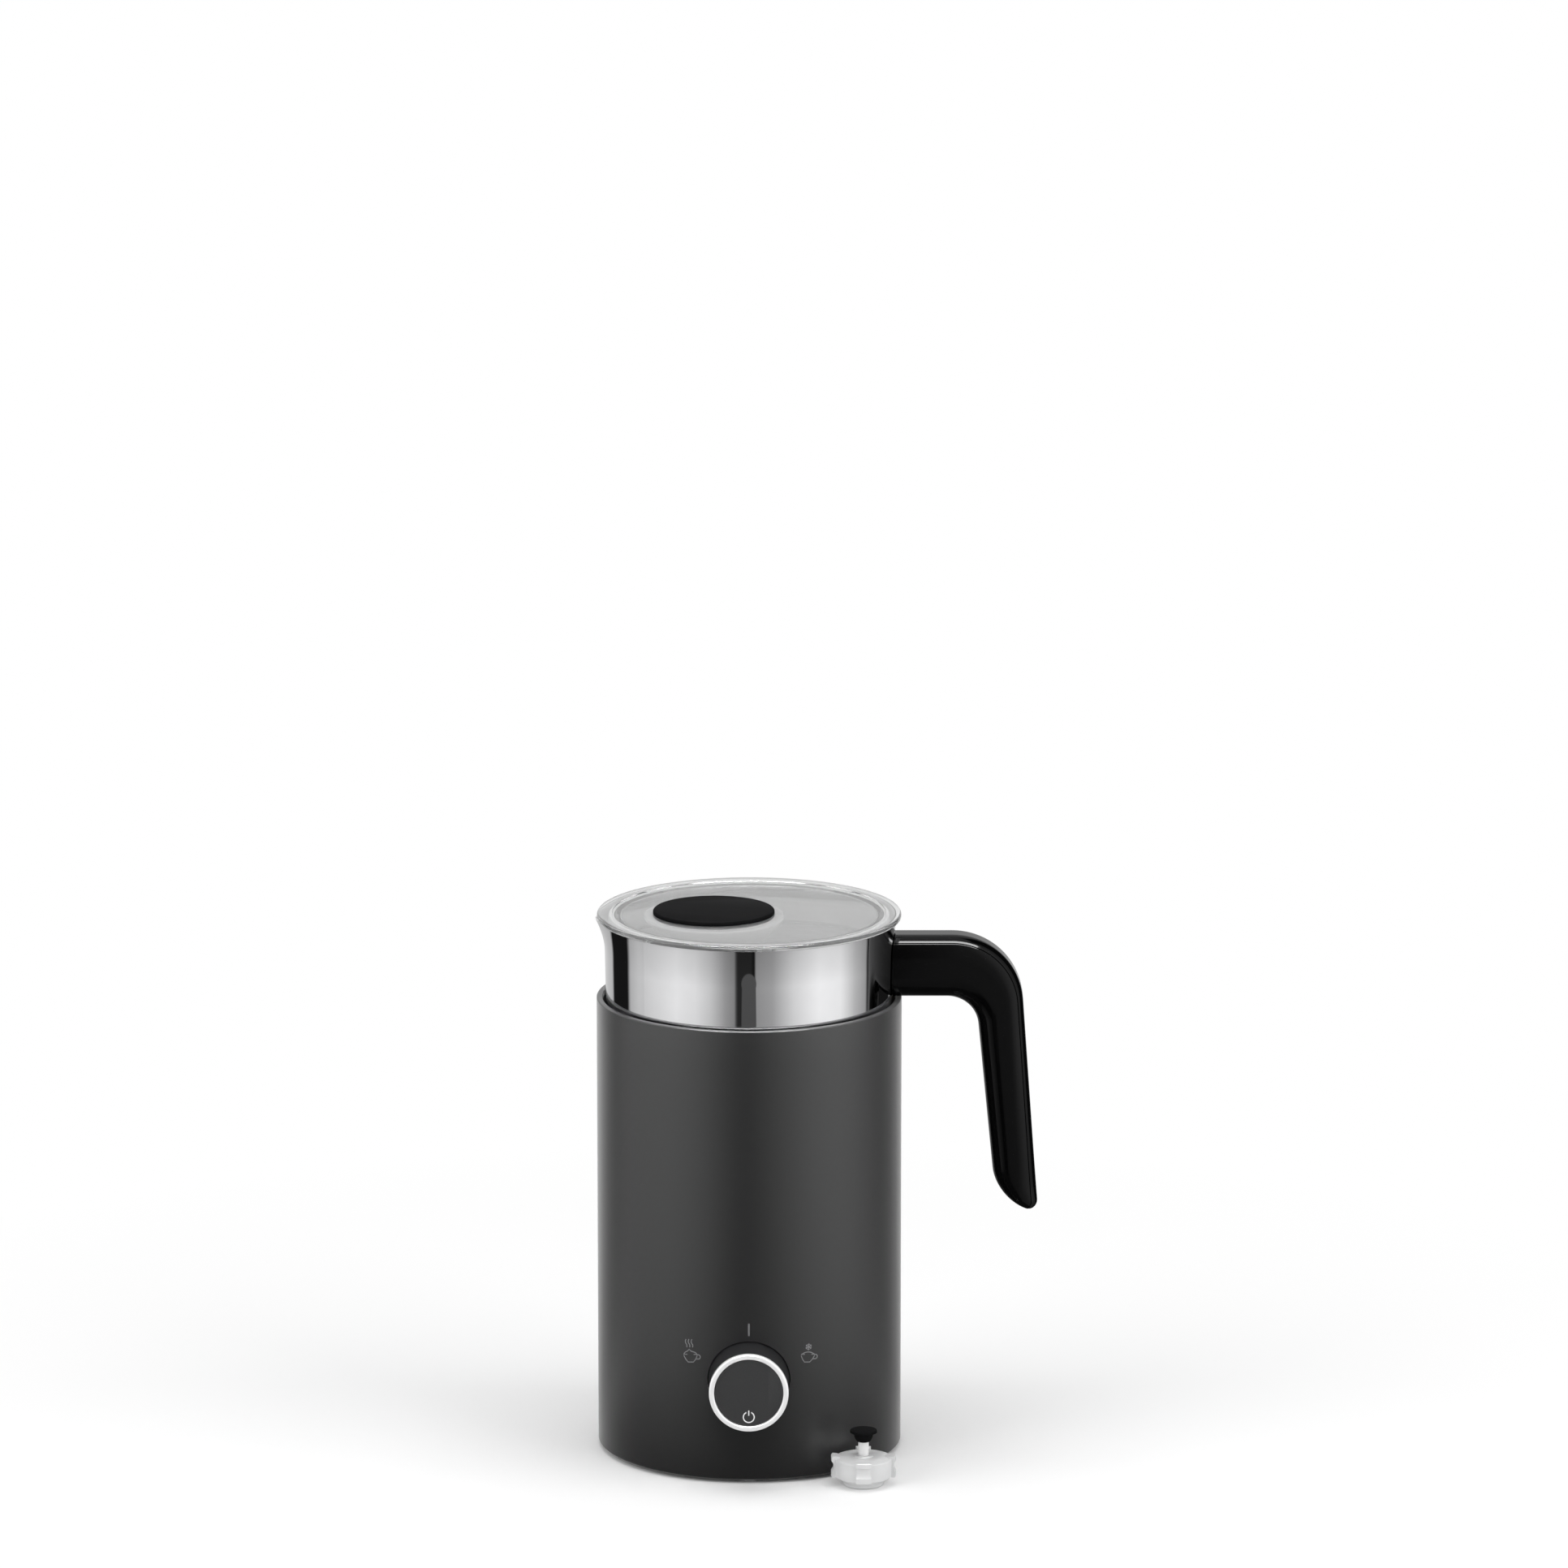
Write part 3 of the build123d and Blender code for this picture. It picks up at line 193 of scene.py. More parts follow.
rim_round, foot_round, rows = 0.5 * mm, 1.1 * mm, 14
housing_line = bow(housing_r - foot_round, under_z + foot_round, foot_round, -pi / 2, 0, 6)
wall_foot, wall_h = under_z + foot_round, rim_z - rim_round - under_z - foot_round
housing_line += [(housing_r, wall_foot + wall_h * i / rows) for i in range(1, rows)]
housing_line += bow(housing_r - rim_round, rim_z - rim_round, rim_round, 0, pi / 2, 6)
housing_line += bow(well_r + rim_round, rim_z - rim_round, rim_round, pi / 2, pi, 6)
housing_line += [(well_r, rim_z - lip_h), (tube_r, rim_z - lip_h)]
housing_line += [(tube_r, rim_z - lip_h - wall_h * i / rows) for i in range(1, rows)] + [(tube_r, under_z)]
shell = loose_object("housing_form", turned_mesh(housing_line, fine_steps))
drills = []
for drill_name, drill_r, drill_y, drill_z in (
        ("knob_drill", knob_hole_r, -housing_r, knob_z), ("gland_drill", gland_hole_r, housing_r, gland_z)):
    bm = bmesh.new()
    bmesh.ops.create_cone(bm, cap_ends=True, segments=128, radius1=drill_r, radius2=drill_r, depth=drill_h)
    bmesh.ops.rotate(bm, verts=bm.verts[:], cent=(0, 0, 0), matrix=Matrix.Rotation(radians(90), 3, "X"))
    bmesh.ops.translate(bm, verts=bm.verts[:], vec=(0, drill_y, drill_z))
    drill = loose_object(drill_name, bm)
    hole = shell.modifiers.new(drill_name, "BOOLEAN")
    hole.object = drill
    hole.solver = "EXACT"
    drills.append(drill)
bpy.context.view_layer.update()
drilled = bpy.data.meshes.new_from_object(shell.evaluated_get(bpy.context.evaluated_depsgraph_get()))
bpy.data.objects.remove(shell)
for drill in drills:
    bpy.data.objects.remove(drill)
boss_foot, boss_ring_r = under_z + 3.0 * mm, 53.5 * mm
boss_r, boss_h, pilot_r, pilot_h = 3.6 * mm, 16.0 * mm, 1.6 * mm, 13.0 * mm
boss_line = [(0, boss_h), (boss_r, boss_h), (boss_r, 0), (pilot_r, 0), (pilot_r, pilot_h), (0, pilot_h)]
boss_bm = bmesh.new()
spin_profile(boss_bm, boss_line, 32, lift=boss_foot)
boss = bpy.data.meshes.new("boss")
boss_bm.to_mesh(boss)
boss_bm.free()
bm = bmesh.new()
for turn in (30, 150, 270):
    placed = boss.copy()
    boss_x, boss_y = boss_ring_r * cos(radians(turn)), boss_ring_r * sin(radians(turn))
    placed.transform(Matrix.Translation((boss_x, boss_y, 0)))
    bm.from_mesh(placed)
    bpy.data.meshes.remove(placed)
bm.from_mesh(drilled)
bpy.data.meshes.remove(drilled)
bpy.data.meshes.remove(boss)
piece = finish_piece("housing_form", bm, powder_coat, "base")
shade(piece.data, 40)
# The rim's top faces take a lighter coat: a painted highlight along the rim.
rim_painted_highlight, rim_highlight_shader = new_material("rim_painted_highlight", 0.3)
grain(rim_painted_highlight, rim_highlight_shader, (0.07, 0.07, 0.071), (0.09, 0.09, 0.091), 2600.0, 0.1, spread=0.02)
piece.data.materials.append(rim_painted_highlight)
for face in piece.data.polygons:
    if face.center.z > rim_z - rim_round * 0.7:
        face.material_index = 1
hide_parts("housing_shell")

# ---------------------------------------------------------------------------------------------
# Well liner and floor: a black moulded cup inside the housing, a little lighter than the coated
# tube, smooth and slightly shiny, and the moulded plate under it that carries the jug.
# ---------------------------------------------------------------------------------------------
liner_finish, liner_shader = new_material("liner_plastic", 0.36)
grain(liner_finish, liner_shader, (0.028, 0.028, 0.029), (0.035, 0.035, 0.036), 1400.0, 0.12, spread=0.03)
coat("well_liner", liner_finish)
coat("well_floor", liner_finish)

# ---------------------------------------------------------------------------------------------
# Base plate, foot ring, base screws and cord gland: moulded plate closed with plated screws, a
# soft rubber ring pressed into its groove, and a rubber bush where the mains lead goes in.
# ---------------------------------------------------------------------------------------------
plate_finish, plate_shader = new_material("base_plastic", 0.55)
grain(plate_finish, plate_shader, (0.025, 0.025, 0.026), (0.034, 0.034, 0.035), 1800.0, 0.4, spread=0.05)
coat("base_plate", plate_finish)
coat("knob_bezel", plate_finish)

rubber, rubber_shader = new_material("black_rubber", 0.75)
grain(rubber, rubber_shader, (0.018, 0.018, 0.018), (0.03, 0.03, 0.03), 900.0, 0.5, spread=0.06)
coat("foot_ring", rubber)
coat("cord_gland", rubber)

plated, plated_shader = new_material("zinc_plate", 0.32, metallic=1.0)
grain(plated, plated_shader, (0.5, 0.5, 0.51), (0.66, 0.66, 0.67), 700.0, 0.1, spread=0.06)
for part_name in ("base_screws", "motor_screws", "handle_screw", "motor_shaft"):
    coat(part_name, plated)

# ---------------------------------------------------------------------------------------------
# Heating: enamelled copper coil in a heat-proof dish, dark ferrite bars under it, and a small
# spun metal cup with the temperature sensor that touches the jug.
# ---------------------------------------------------------------------------------------------
enamel, enamel_shader = new_material("enamelled_copper", 0.3, metallic=0.8)
grain(enamel, enamel_shader, (0.5, 0.2, 0.09), (0.62, 0.28, 0.13), 500.0, 0.2, spread=0.05, stretch=(1, 1, 4))
coat("induction_coil", enamel)
dish_finish, dish_shader = new_material("dish_plastic", 0.6)
grain(dish_finish, dish_shader, (0.5, 0.48, 0.43), (0.58, 0.56, 0.5), 900.0, 0.3, spread=0.05)
coat("coil_carrier", dish_finish)
ferrite, ferrite_shader = new_material("ferrite", 0.7)
grain(ferrite, ferrite_shader, (0.03, 0.03, 0.032), (0.06, 0.06, 0.062), 1200.0, 0.8, spread=0.08)
coat("ferrite_bars", ferrite)
spun_metal, spun_shader = new_material("spun_metal", 0.35, metallic=1.0)
grain(
    spun_metal, spun_shader, (0.6, 0.6, 0.6), (0.72, 0.72, 0.72), 900.0, 0.2, spread=0.06, stretch=(1, 1, 8))
coat("temperature_sensor", spun_metal)

# ---------------------------------------------------------------------------------------------
# Drive: plated sheet bracket, motor can, and a steel disc with nickel-plated magnets that turns
# under the well's floor.
# ---------------------------------------------------------------------------------------------
sheet_steel, sheet_shader = new_material("sheet_steel", 0.38, metallic=1.0)
grain(
    sheet_steel, sheet_shader, (0.5, 0.51, 0.52), (0.6, 0.61, 0.62), 300.0, 0.15, spread=0.07,
    stretch=(1, 12, 1))
for part_name in ("motor_bracket", "drive_motor", "drive_disc", "handle_bracket"):
    coat(part_name, sheet_steel)
nickel, nickel_shader = new_material("nickel_plate", 0.25, metallic=1.0)
grain(nickel, nickel_shader, (0.42, 0.41, 0.4), (0.5, 0.49, 0.47), 800.0, 0.1, spread=0.05)
for part_name in ("drive_magnets", "whisk_magnets", "spare_magnets"):
    coat(part_name, nickel)

# ---------------------------------------------------------------------------------------------
# Electronics: two green laminate boards, black moulded components and the rotary switch that
# the knob's spindle turns.
# ---------------------------------------------------------------------------------------------
laminate, laminate_shader = new_material("board_laminate", 0.45)
grain(laminate, laminate_shader, (0.012, 0.075, 0.03), (0.02, 0.11, 0.045), 600.0, 0.2, spread=0.06)
coat("control_board", laminate)
coat("power_board", laminate)
component, component_shader = new_material("component_plastic", 0.5)
grain(component, component_shader, (0.03, 0.03, 0.034), (0.05, 0.05, 0.055), 900.0, 0.3, spread=0.06)
coat("power_parts", component)
coat("selector_switch", component)

# ---------------------------------------------------------------------------------------------
# Knob: a black moulded barrel on a hollow spindle, a plated ring on its front edge whose
# near-white colour is a painted reflection over a weak real one, and the start button inside
# the ring, a flat disc on a plunger.
# ---------------------------------------------------------------------------------------------
knob_finish, knob_shader = new_material("knob_plastic", 0.42)
grain(knob_finish, knob_shader, (0.007, 0.007, 0.0075), (0.01, 0.01, 0.0105), 2200.0, 0.15, spread=0.03)
knob_shader.inputs["Specular IOR Level"].default_value = 0.1
coat("knob_barrel", knob_finish)
coat("selector_spindle", knob_finish)
# The ring is near-white and only a little metallic: its brightness is a painted reflection, with a weak real
# one over it.
plating_painted_white, plating_white_shader = new_material("trim_chrome", 0.14, metallic=0.28)
grain(plating_painted_white, plating_white_shader, (0.96, 0.96, 0.96), (0.98, 0.98, 0.98), 120.0, 0.0, spread=0.015)
coat("knob_trim_ring", plating_painted_white)
button_finish, button_shader = new_material("button_plastic", 0.4)
grain(button_finish, button_shader, (0.03, 0.03, 0.031), (0.037, 0.037, 0.038), 2400.0, 0.2, spread=0.03)
coat("button_face", button_finish)
coat("button_plunger", button_finish)

# ---------------------------------------------------------------------------------------------
# Printed marks: thin pale lines on the housing, a bar above the knob, a steaming cup with foam
# on its left and a cup under a snowflake on its right, and the start sign on the button.
# ---------------------------------------------------------------------------------------------
print_grey, print_shader = new_material("print_grey", 0.5)
grain(print_grey, print_shader, (0.17, 0.17, 0.175), (0.22, 0.22, 0.225), 1500.0, 0.0, spread=0.04)
print_white, white_shader = new_material("print_white", 0.45)
grain(print_white, white_shader, (0.72, 0.72, 0.72), (0.8, 0.8, 0.8), 1500.0, 0.0, spread=0.04)
print_proud = 0.05 * mm
button_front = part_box("button_face")[0].y


def arc(cx, cy, r, start, end, steps=16):
    """Points along an arc, angles in degrees."""
    turn = [radians(start + (end - start) * i / steps) for i in range(steps + 1)]
    return [(cx + r * cos(a), cy + r * sin(a)) for a in turn]


def wave(x, low, high, width, steps=16):
    """One upright wavy line."""
    rise = [i / steps for i in range(steps + 1)]
    return [(x + width * sin(2 * pi * t + 0.4), low + (high - low) * t) for t in rise]


def strokes_mesh(strokes, width):
    """Printed lines in the XY plane: a short edge drawn along each list of points in millimetres."""
    bm = bmesh.new()
    half = width / 2 * mm
    for points in strokes:
        closed = points[0] == points[-1]
        line = [Vector((x, y, 0)) * mm for x, y in points]
        edge = None
        for i, point in enumerate(line):
            before = line[i - 1] if i else (line[-2] if closed else point)
            after = line[i + 1] if i < len(line) - 1 else (line[1] if closed else point)
            along = (after - before).normalized()
            across = Vector((-along.y, along.x, 0)) * half
            if edge is None:
                edge = bm.edges.new((bm.verts.new(point + across), bm.verts.new(point - across)))
                ends = list(edge.verts)
                continue
            drawn = bmesh.ops.extrude_edge_only(bm, edges=[edge])["geom"]
            edge = next(item for item in drawn if isinstance(item, bmesh.types.BMEdge))
            moved = [
                next(e.other_vert(v) for e in v.link_edges if e.other_vert(v) in ends) for v in edge.verts]
            for vert, root in zip(edge.verts, moved):
                vert.co = point + (across if root is ends[0] else -across)
            ends = [edge.verts[moved.index(ends[0])], edge.verts[moved.index(ends[1])]]
    bmesh.ops.remove_doubles(bm, verts=bm.verts[:], dist=0.001 * mm)
    bmesh.ops.recalc_face_normals(bm, faces=bm.faces[:])
    top = bmesh.ops.extrude_face_region(bm, geom=bm.faces[:])["geom"]
    raised = [item for item in top if isinstance(item, bmesh.types.BMVert)]
    bmesh.ops.translate(bm, verts=raised, vec=(0, 0, print_proud))
    bmesh.ops.recalc_face_normals(bm, faces=bm.faces[:])
    return bm


def wrap_on_housing(bm, across, height, tilt):
    """Bends flat lines round the housing's wall, centred at a width and a height."""
    bmesh.ops.rotate(bm, verts=bm.verts[:], cent=(0, 0, 0), matrix=Matrix.Rotation(radians(tilt), 3, "Z"))
    for vert in bm.verts:
        around = (vert.co.x + across) / housing_r
        radius = housing_r + vert.co.z
        vert.co = Vector((radius * sin(around), -radius * cos(around), height + vert.co.y))


cup = [
    (-2.8, 0), (-2.6, -0.8), (-2.05, -1.9), (-1.2, -3.0), (1.0, -3.0), (2.0, -1.9), (2.6, -0.8), (2.8, 0),
    (-2.8, 0)]
cup_ear = [(2.75, -0.15)] + arc(3.1, -0.95, 0.85, 80, -100, 10) + [(2.2, -1.75)]
foam = [
    (-2.6, 0.15), (-2.1, 0.8), (-1.2, 1.2), (-0.3, 1.95), (0.4, 1.25), (1.5, 0.95), (2.3, 0.6), (2.6, 0.1)]
steam = [wave(x, 2.8, 5.9, 0.26) for x in (-1.35, -0.15, 1.05)]
drink = [(-2.6, 0.1)] + arc(0, -3.1, 4.0, 126, 54, 12) + [(2.6, 0.1)]
flake_y, flake_r, barb_r, barb_root_r, barb_turn = 2.9, 1.3, 1.15, 0.75, 0.35
flake = [
    [(flake_r * cos(a), flake_y + flake_r * sin(a)), (-flake_r * cos(a), flake_y - flake_r * sin(a))]
    for a in (pi / 2, pi / 6, -pi / 6)]
for a in [k * pi / 3 + pi / 6 for k in range(6)]:
    barb = ((barb_r, a - barb_turn), (barb_root_r, a), (barb_r, a + barb_turn))
    flake.append([(r * cos(turn), flake_y + r * sin(turn)) for r, turn in barb])
marks = {
    "mark_bar": ([[(0, -2.4), (0, 2.4)]], 0.0, 60.3, 0, 0.65),
    "mark_hot": ([cup, cup_ear, foam] + steam, -22.7, 49.5, 5, 0.32),
    "mark_cold": ([cup, cup_ear, drink] + flake, 22.9, 49.5, -5, 0.32),
}
for mark_name, (lines, across, height, tilt, width) in marks.items():
    bm = strokes_mesh(lines, width)
    wrap_on_housing(bm, across * mm, height * mm, tilt)
    finish_piece(mark_name, bm, print_grey, "base")

start_sign = [arc(0, 0, 2.05, 117, 423, 40), [(0, 0.6), (0, 2.6)]]
sign_drop = 9.4 * mm
bm = strokes_mesh(start_sign, 0.42)
bmesh.ops.rotate(bm, verts=bm.verts[:], cent=(0, 0, 0), matrix=Matrix.Rotation(radians(90), 3, "X"))
bmesh.ops.translate(bm, verts=bm.verts[:], vec=(0, button_front, knob_z - sign_drop))
finish_piece("start_sign", bm, print_white, "start_button")

# ---------------------------------------------------------------------------------------------
# Jug: deep-drawn stainless steel, mirror polished outside and brushed round inside. A straight
# foot, a hollow curve and a round shoulder lead to a wall that leans out a little, the rim
# flares, and a small lip is pinched into it. The thin cut edge is painted near-white, a painted
# highlight all round the rim.
# ---------------------------------------------------------------------------------------------
disc_low, disc_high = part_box("jug_base_disc")
jug_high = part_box("jug_shell")[1]
seat = disc_low.z
sheet = 0.7 * mm
foot_r, foot_corner, neck_z = 44.5 * mm, 3.0 * mm, 12.0 * mm
cove_r, shoulder_r = 22.0 * mm, 43.6 * mm
body_r, body_z, rim_r = 54.8 * mm, 116.0 * mm, 56.0 * mm
disc_h = disc_high.z - seat
jug_h = jug_high.z - seat
lean = radians(1.13)
shoulder_x = body_r - 1.4 * mm - shoulder_r
cove_turn = acos((foot_r + cove_r - shoulder_x) / (cove_r + shoulder_r))
shoulder_z = neck_z + (cove_r + shoulder_r) * sin(cove_turn)


def jug_profile(inset):
    """Half outline from the floor's centre out and up to the rim, moved in by inset."""
    points = [(0, disc_h + inset), (20 * mm, disc_h + inset)]
    points += bow(foot_r - foot_corner, disc_h + foot_corner, foot_corner - inset, -pi / 2, 0, 6)
    points += bow(foot_r + cove_r, neck_z, cove_r + inset, pi, pi - cove_turn, 14)
    points += bow(shoulder_x, shoulder_z, shoulder_r - inset, -cove_turn, -lean, 20)[1:]
    wall_steps = 8
    wall_foot = points[-1]
    for i in range(1, wall_steps + 1):
        t = i / wall_steps
        wall_x = wall_foot[0] + (body_r - inset - wall_foot[0]) * t
        points.append((wall_x, wall_foot[1] + (body_z - wall_foot[1]) * t))
    flare_steps = 12
    for i in range(1, flare_steps + 1):
        t = i / flare_steps
        swell = (rim_r - body_r) * (0.25 * t + 0.75 * t * t)
        points.append((body_r - inset + swell, body_z + (jug_h - body_z) * t))
    return points


lip_reach, lip_half, lip_drop = 2.6 * mm, radians(9.5), 11.0 * mm
edge_soft = 0.15 * mm
bm = bmesh.new()
outside = jug_profile(0)
rim_edge = [(rim_r - edge_soft, jug_h), (rim_r - sheet + edge_soft, jug_h)]
outside[-1] = (rim_r, jug_h - edge_soft)
inside = list(reversed(jug_profile(sheet)))
inside[0] = (rim_r - sheet, jug_h - edge_soft)
spin_profile(bm, outside + rim_edge + inside, fine_steps, lift=seat)
for vert in bm.verts:
    around = abs(Vector((-vert.co.x, vert.co.y)).angle_signed(Vector((1, 0)), 0.0))
    rise = (vert.co.z - (seat + jug_h - lip_drop)) / lip_drop
    if rise > 0 and around < lip_half * 2.6:
        pull = lip_reach * rise ** 1.6 * (1 / (1 + (around / lip_half) ** 2) ** 1.5)
        vert.co.x -= pull

mirror_steel, mirror_shader = new_material("mirror_steel", 0.025, metallic=1.0)
grain(mirror_steel, mirror_shader, (0.72, 0.72, 0.73), (0.76, 0.76, 0.77), 60.0, 0.0, spread=0.008)
brushed_steel, brushed_shader = new_material("brushed_steel", 0.42, metallic=1.0)
grain(brushed_steel, brushed_shader, (0.48, 0.48, 0.485), (0.66, 0.66, 0.665), 55.0, 0.22, spread=0.06,
      stretch=(1, 1, 60), detail=6.0)
brushed_shader.inputs["Anisotropic"].default_value = 0.96
brushed_shader.inputs["Anisotropic Rotation"].default_value = 0.25
brushed_tangent = brushed_steel.node_tree.nodes.new("ShaderNodeTangent")
brushed_tangent.direction_type = "RADIAL"
brushed_tangent.axis = "Z"
brushed_steel.node_tree.links.new(brushed_tangent.outputs["Tangent"], brushed_shader.inputs["Tangent"])
jug_body = finish_piece("jug_body", bm, mirror_steel, "jug")
mesh = jug_body.data
mesh.materials.append(brushed_steel)
# The cut edge's near-white, half-metallic colour is a painted highlight round the rim.
cut_edge_painted_highlight, cut_edge_highlight_shader = new_material("cut_edge_painted_highlight", 0.24, metallic=0.4)
grain(cut_edge_painted_highlight, cut_edge_highlight_shader, (0.93, 0.93, 0.93), (0.97, 0.97, 0.97), 300.0, 0.0, spread=0.03)
mesh.materials.append(cut_edge_painted_highlight)
for face in mesh.polygons:
    centre, normal = face.center, face.normal
    is_floor = normal.z > 0.9 and centre.z < seat + disc_h + 2 * mm
    if is_floor or normal.x * centre.x + normal.y * centre.y < 0:
        face.material_index = 1
    if centre.z > seat + jug_h - edge_soft - 0.01 * mm:
        face.material_index = 2
shade(mesh, 40)
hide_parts("jug_shell")

# Base disc: bonded magnetic plate with a satin turned face and edge.
satin_steel, satin_shader = new_material("satin_steel", 0.46, metallic=0.7)
grain(
    satin_steel, satin_shader, (0.84, 0.84, 0.84), (0.92, 0.92, 0.92), 90.0, 0.15, spread=0.05,
    stretch=(1, 1, 20))
coat("jug_base_disc", satin_steel)

# ---------------------------------------------------------------------------------------------
# Handle: glossy black moulded grip with a separate cover along its back, joined at a fine groove.
# Both are closed forms drawn through rounded sections from the arm, round the bend, down the
# grip that leans out, to the slanting rounded tip.
# ---------------------------------------------------------------------------------------------
gloss_black, gloss_shader = new_material("gloss_black", 0.09)
grain(gloss_black, gloss_shader, (0.001, 0.001, 0.0011), (0.0015, 0.0015, 0.0016), 500.0, 0.0, spread=0.02)
gloss_shader.inputs["Specular IOR Level"].default_value = 0.17
arm_top, arm_under, root_gap = 124.5 * mm, 100.6 * mm, 0.3 * mm
arm_x = body_r + root_gap
outer_bend, outer_bend_x = 27.0 * mm, 77.2 * mm
inner_bend, inner_bend_x = 12.0 * mm, 75.2 * mm
grip_back_x, grip_back_z = 109.9 * mm, 20.0 * mm
grip_front_x, grip_front_z = 92.76 * mm, 33.5 * mm
tip_x, tip_z = 105.6 * mm, 17.9 * mm
handle_depth, side_round, cover_t, seam = 19.0 * mm, 6.5 * mm, 2.4 * mm, 0.3 * mm
lean_back = atan((grip_back_x - outer_bend_x - outer_bend) / (arm_top - outer_bend - grip_back_z))
lean_front = atan((grip_front_x - inner_bend_x - inner_bend) / (arm_under - inner_bend - grip_front_z))


def geometry_arc(start, middle, end, steps):
    """Points along the arc through three points of a side view."""
    chord_a, chord_b = middle - start, end - start
    turn = 2 * (chord_a.x * chord_b.y - chord_a.y * chord_b.x)
    square_a, square_b = chord_a.length_squared, chord_b.length_squared
    centre = start + Vector((
        (chord_b.y * square_a - chord_a.y * square_b) / turn,
        (chord_a.x * square_b - chord_b.x * square_a) / turn))
    radius = (start - centre).length
    first = atan2(start.y - centre.y, start.x - centre.x)
    last = atan2(end.y - centre.y, end.x - centre.x)
    return bow(centre.x, centre.y, radius, first, last + (2 * pi if last < first else 0), steps)


def handle_stations():
    """Pairs of (front point, back point) of the side view, from the jug to the tip."""
    pairs = []
    for i in range(7):
        t = i / 6
        pairs.append((
            (arm_x + (inner_bend_x - arm_x) * t, arm_under),
            (arm_x + (outer_bend_x - arm_x) * t, arm_top),
        ))
    steps = 22
    for i in range(1, steps + 1):
        back_turn = pi / 2 - (pi / 2 - lean_back) * i / steps
        front_turn = pi / 2 - (pi / 2 - lean_front) * i / steps
        pairs.append((
            (inner_bend_x + inner_bend * cos(front_turn),
             arm_under - inner_bend + inner_bend * sin(front_turn)),
            (outer_bend_x + outer_bend * cos(back_turn),
             arm_top - outer_bend + outer_bend * sin(back_turn)),
        ))
    (fx, fz), (bx, bz) = pairs[-1]
    turn_z = 40.0 * mm
    turn_x = grip_back_x - (turn_z - grip_back_z) * tan(lean_back)
    for i in range(1, 11):
        t = i / 10
        pairs.append((
            (fx + (grip_front_x - fx) * t, fz + (grip_front_z - fz) * t),
            (bx + (turn_x - bx) * t, bz + (turn_z - bz) * t),
        ))
    # the front edge swings in along an arc to the tip, the back edge runs down and rounds the toe
    toe_r = 3.0 * mm
    toe_x, toe_z = grip_back_x - toe_r, tip_z + toe_r
    middle = Vector((96.8 * mm, 23.8 * mm))
    start, end = Vector((grip_front_x, grip_front_z)), Vector((tip_x, tip_z))
    sweep = geometry_arc(start, middle, end, 24)
    heel = [
        (turn_x + (toe_x + toe_r - turn_x) * t / 16, turn_z + (toe_z - turn_z) * t / 16)
        for t in range(1, 17)]
    heel += bow(toe_x, toe_z, toe_r, 0, radians(-80), 8)[1:]
    pairs += list(zip(sweep[1:], heel))
    return pairs


def root_shift(x, y, z):
    """How far a point of the arm moves along X so that the root follows the jug's round wall."""
    flare = max(0.0, (z - body_z) / (jug_h - body_z))
    wall = body_r + (rim_r - body_r) * (0.25 * flare + 0.75 * flare ** 2) - max(0.0, body_z - z) * tan(lean)
    share = max(0.0, 1 - (x - arm_x) / (inner_bend_x - arm_x))
    return (((wall + root_gap) ** 2 - y ** 2) ** 0.5 - arm_x) * share


def half_depth(s, width):
    """Half of the handle's depth at a distance s from the front edge of a section."""
    rounding = min(side_round, width * 0.48)
    near = min(s, width - s)
    if near >= rounding:
        return handle_depth / 2 - (side_round - rounding) * 0.35
    fall = rounding - (max(rounding ** 2 - (rounding - near) ** 2, 0.0)) ** 0.5
    return handle_depth / 2 - (side_round - rounding) * 0.35 - fall * (0.62 + 0.38 * rounding / side_round)


def handle_form(is_cover):
    """Closed form drawn through all sections, either the front part or the back cover."""
    bm = bmesh.new()
    rings = []
    count = 14
    for front, back in handle_stations():
        width = hypot(back[0] - front[0], back[1] - front[1])
        cover = min(cover_t, width * 0.45)
        low, high = (width - cover, width) if is_cover else (0.0, width - cover)
        first, last = (low + seam / 2, high) if is_cover else (low, high - seam / 2)
        spots = [first + (last - first) * (1 - cos(pi * i / count)) / 2 for i in range(count + 1)]
        along = [(s, half_depth(s, width)) for s in spots]
        if is_cover:
            along.insert(0, (low, half_depth(low, width) - seam))
        else:
            along.append((high, half_depth(high, width) - seam))
        ring = []
        for sign, order in ((1, along), (-1, list(reversed(along)))):
            for s, depth in order:
                x = front[0] + (back[0] - front[0]) * s / width
                z = front[1] + (back[1] - front[1]) * s / width
                y = sign * max(depth, 0.02 * mm)
                ring.append(bm.verts.new((x + root_shift(x, y, z), y, seat + z)))
        rings.append([bm.edges.new(pair) for pair in zip(ring, ring[1:] + ring[:1])])
    for a, b in zip(rings, rings[1:]):
        bmesh.ops.bridge_loops(bm, edges=a + b)
    for end in (rings[0], rings[-1]):
        bmesh.ops.edgeloop_fill(bm, edges=end)
    bmesh.ops.recalc_face_normals(bm, faces=bm.faces[:])
    return bm


for piece_name, is_cover, node_name in (
        ("grip_form", False, "handle_grip"), ("cover_form", True, "handle_cover")):
    piece = finish_piece(piece_name, handle_form(is_cover), gloss_black, "jug")
    shade(piece.data, 38)
    even_flats(piece)
    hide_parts(node_name)

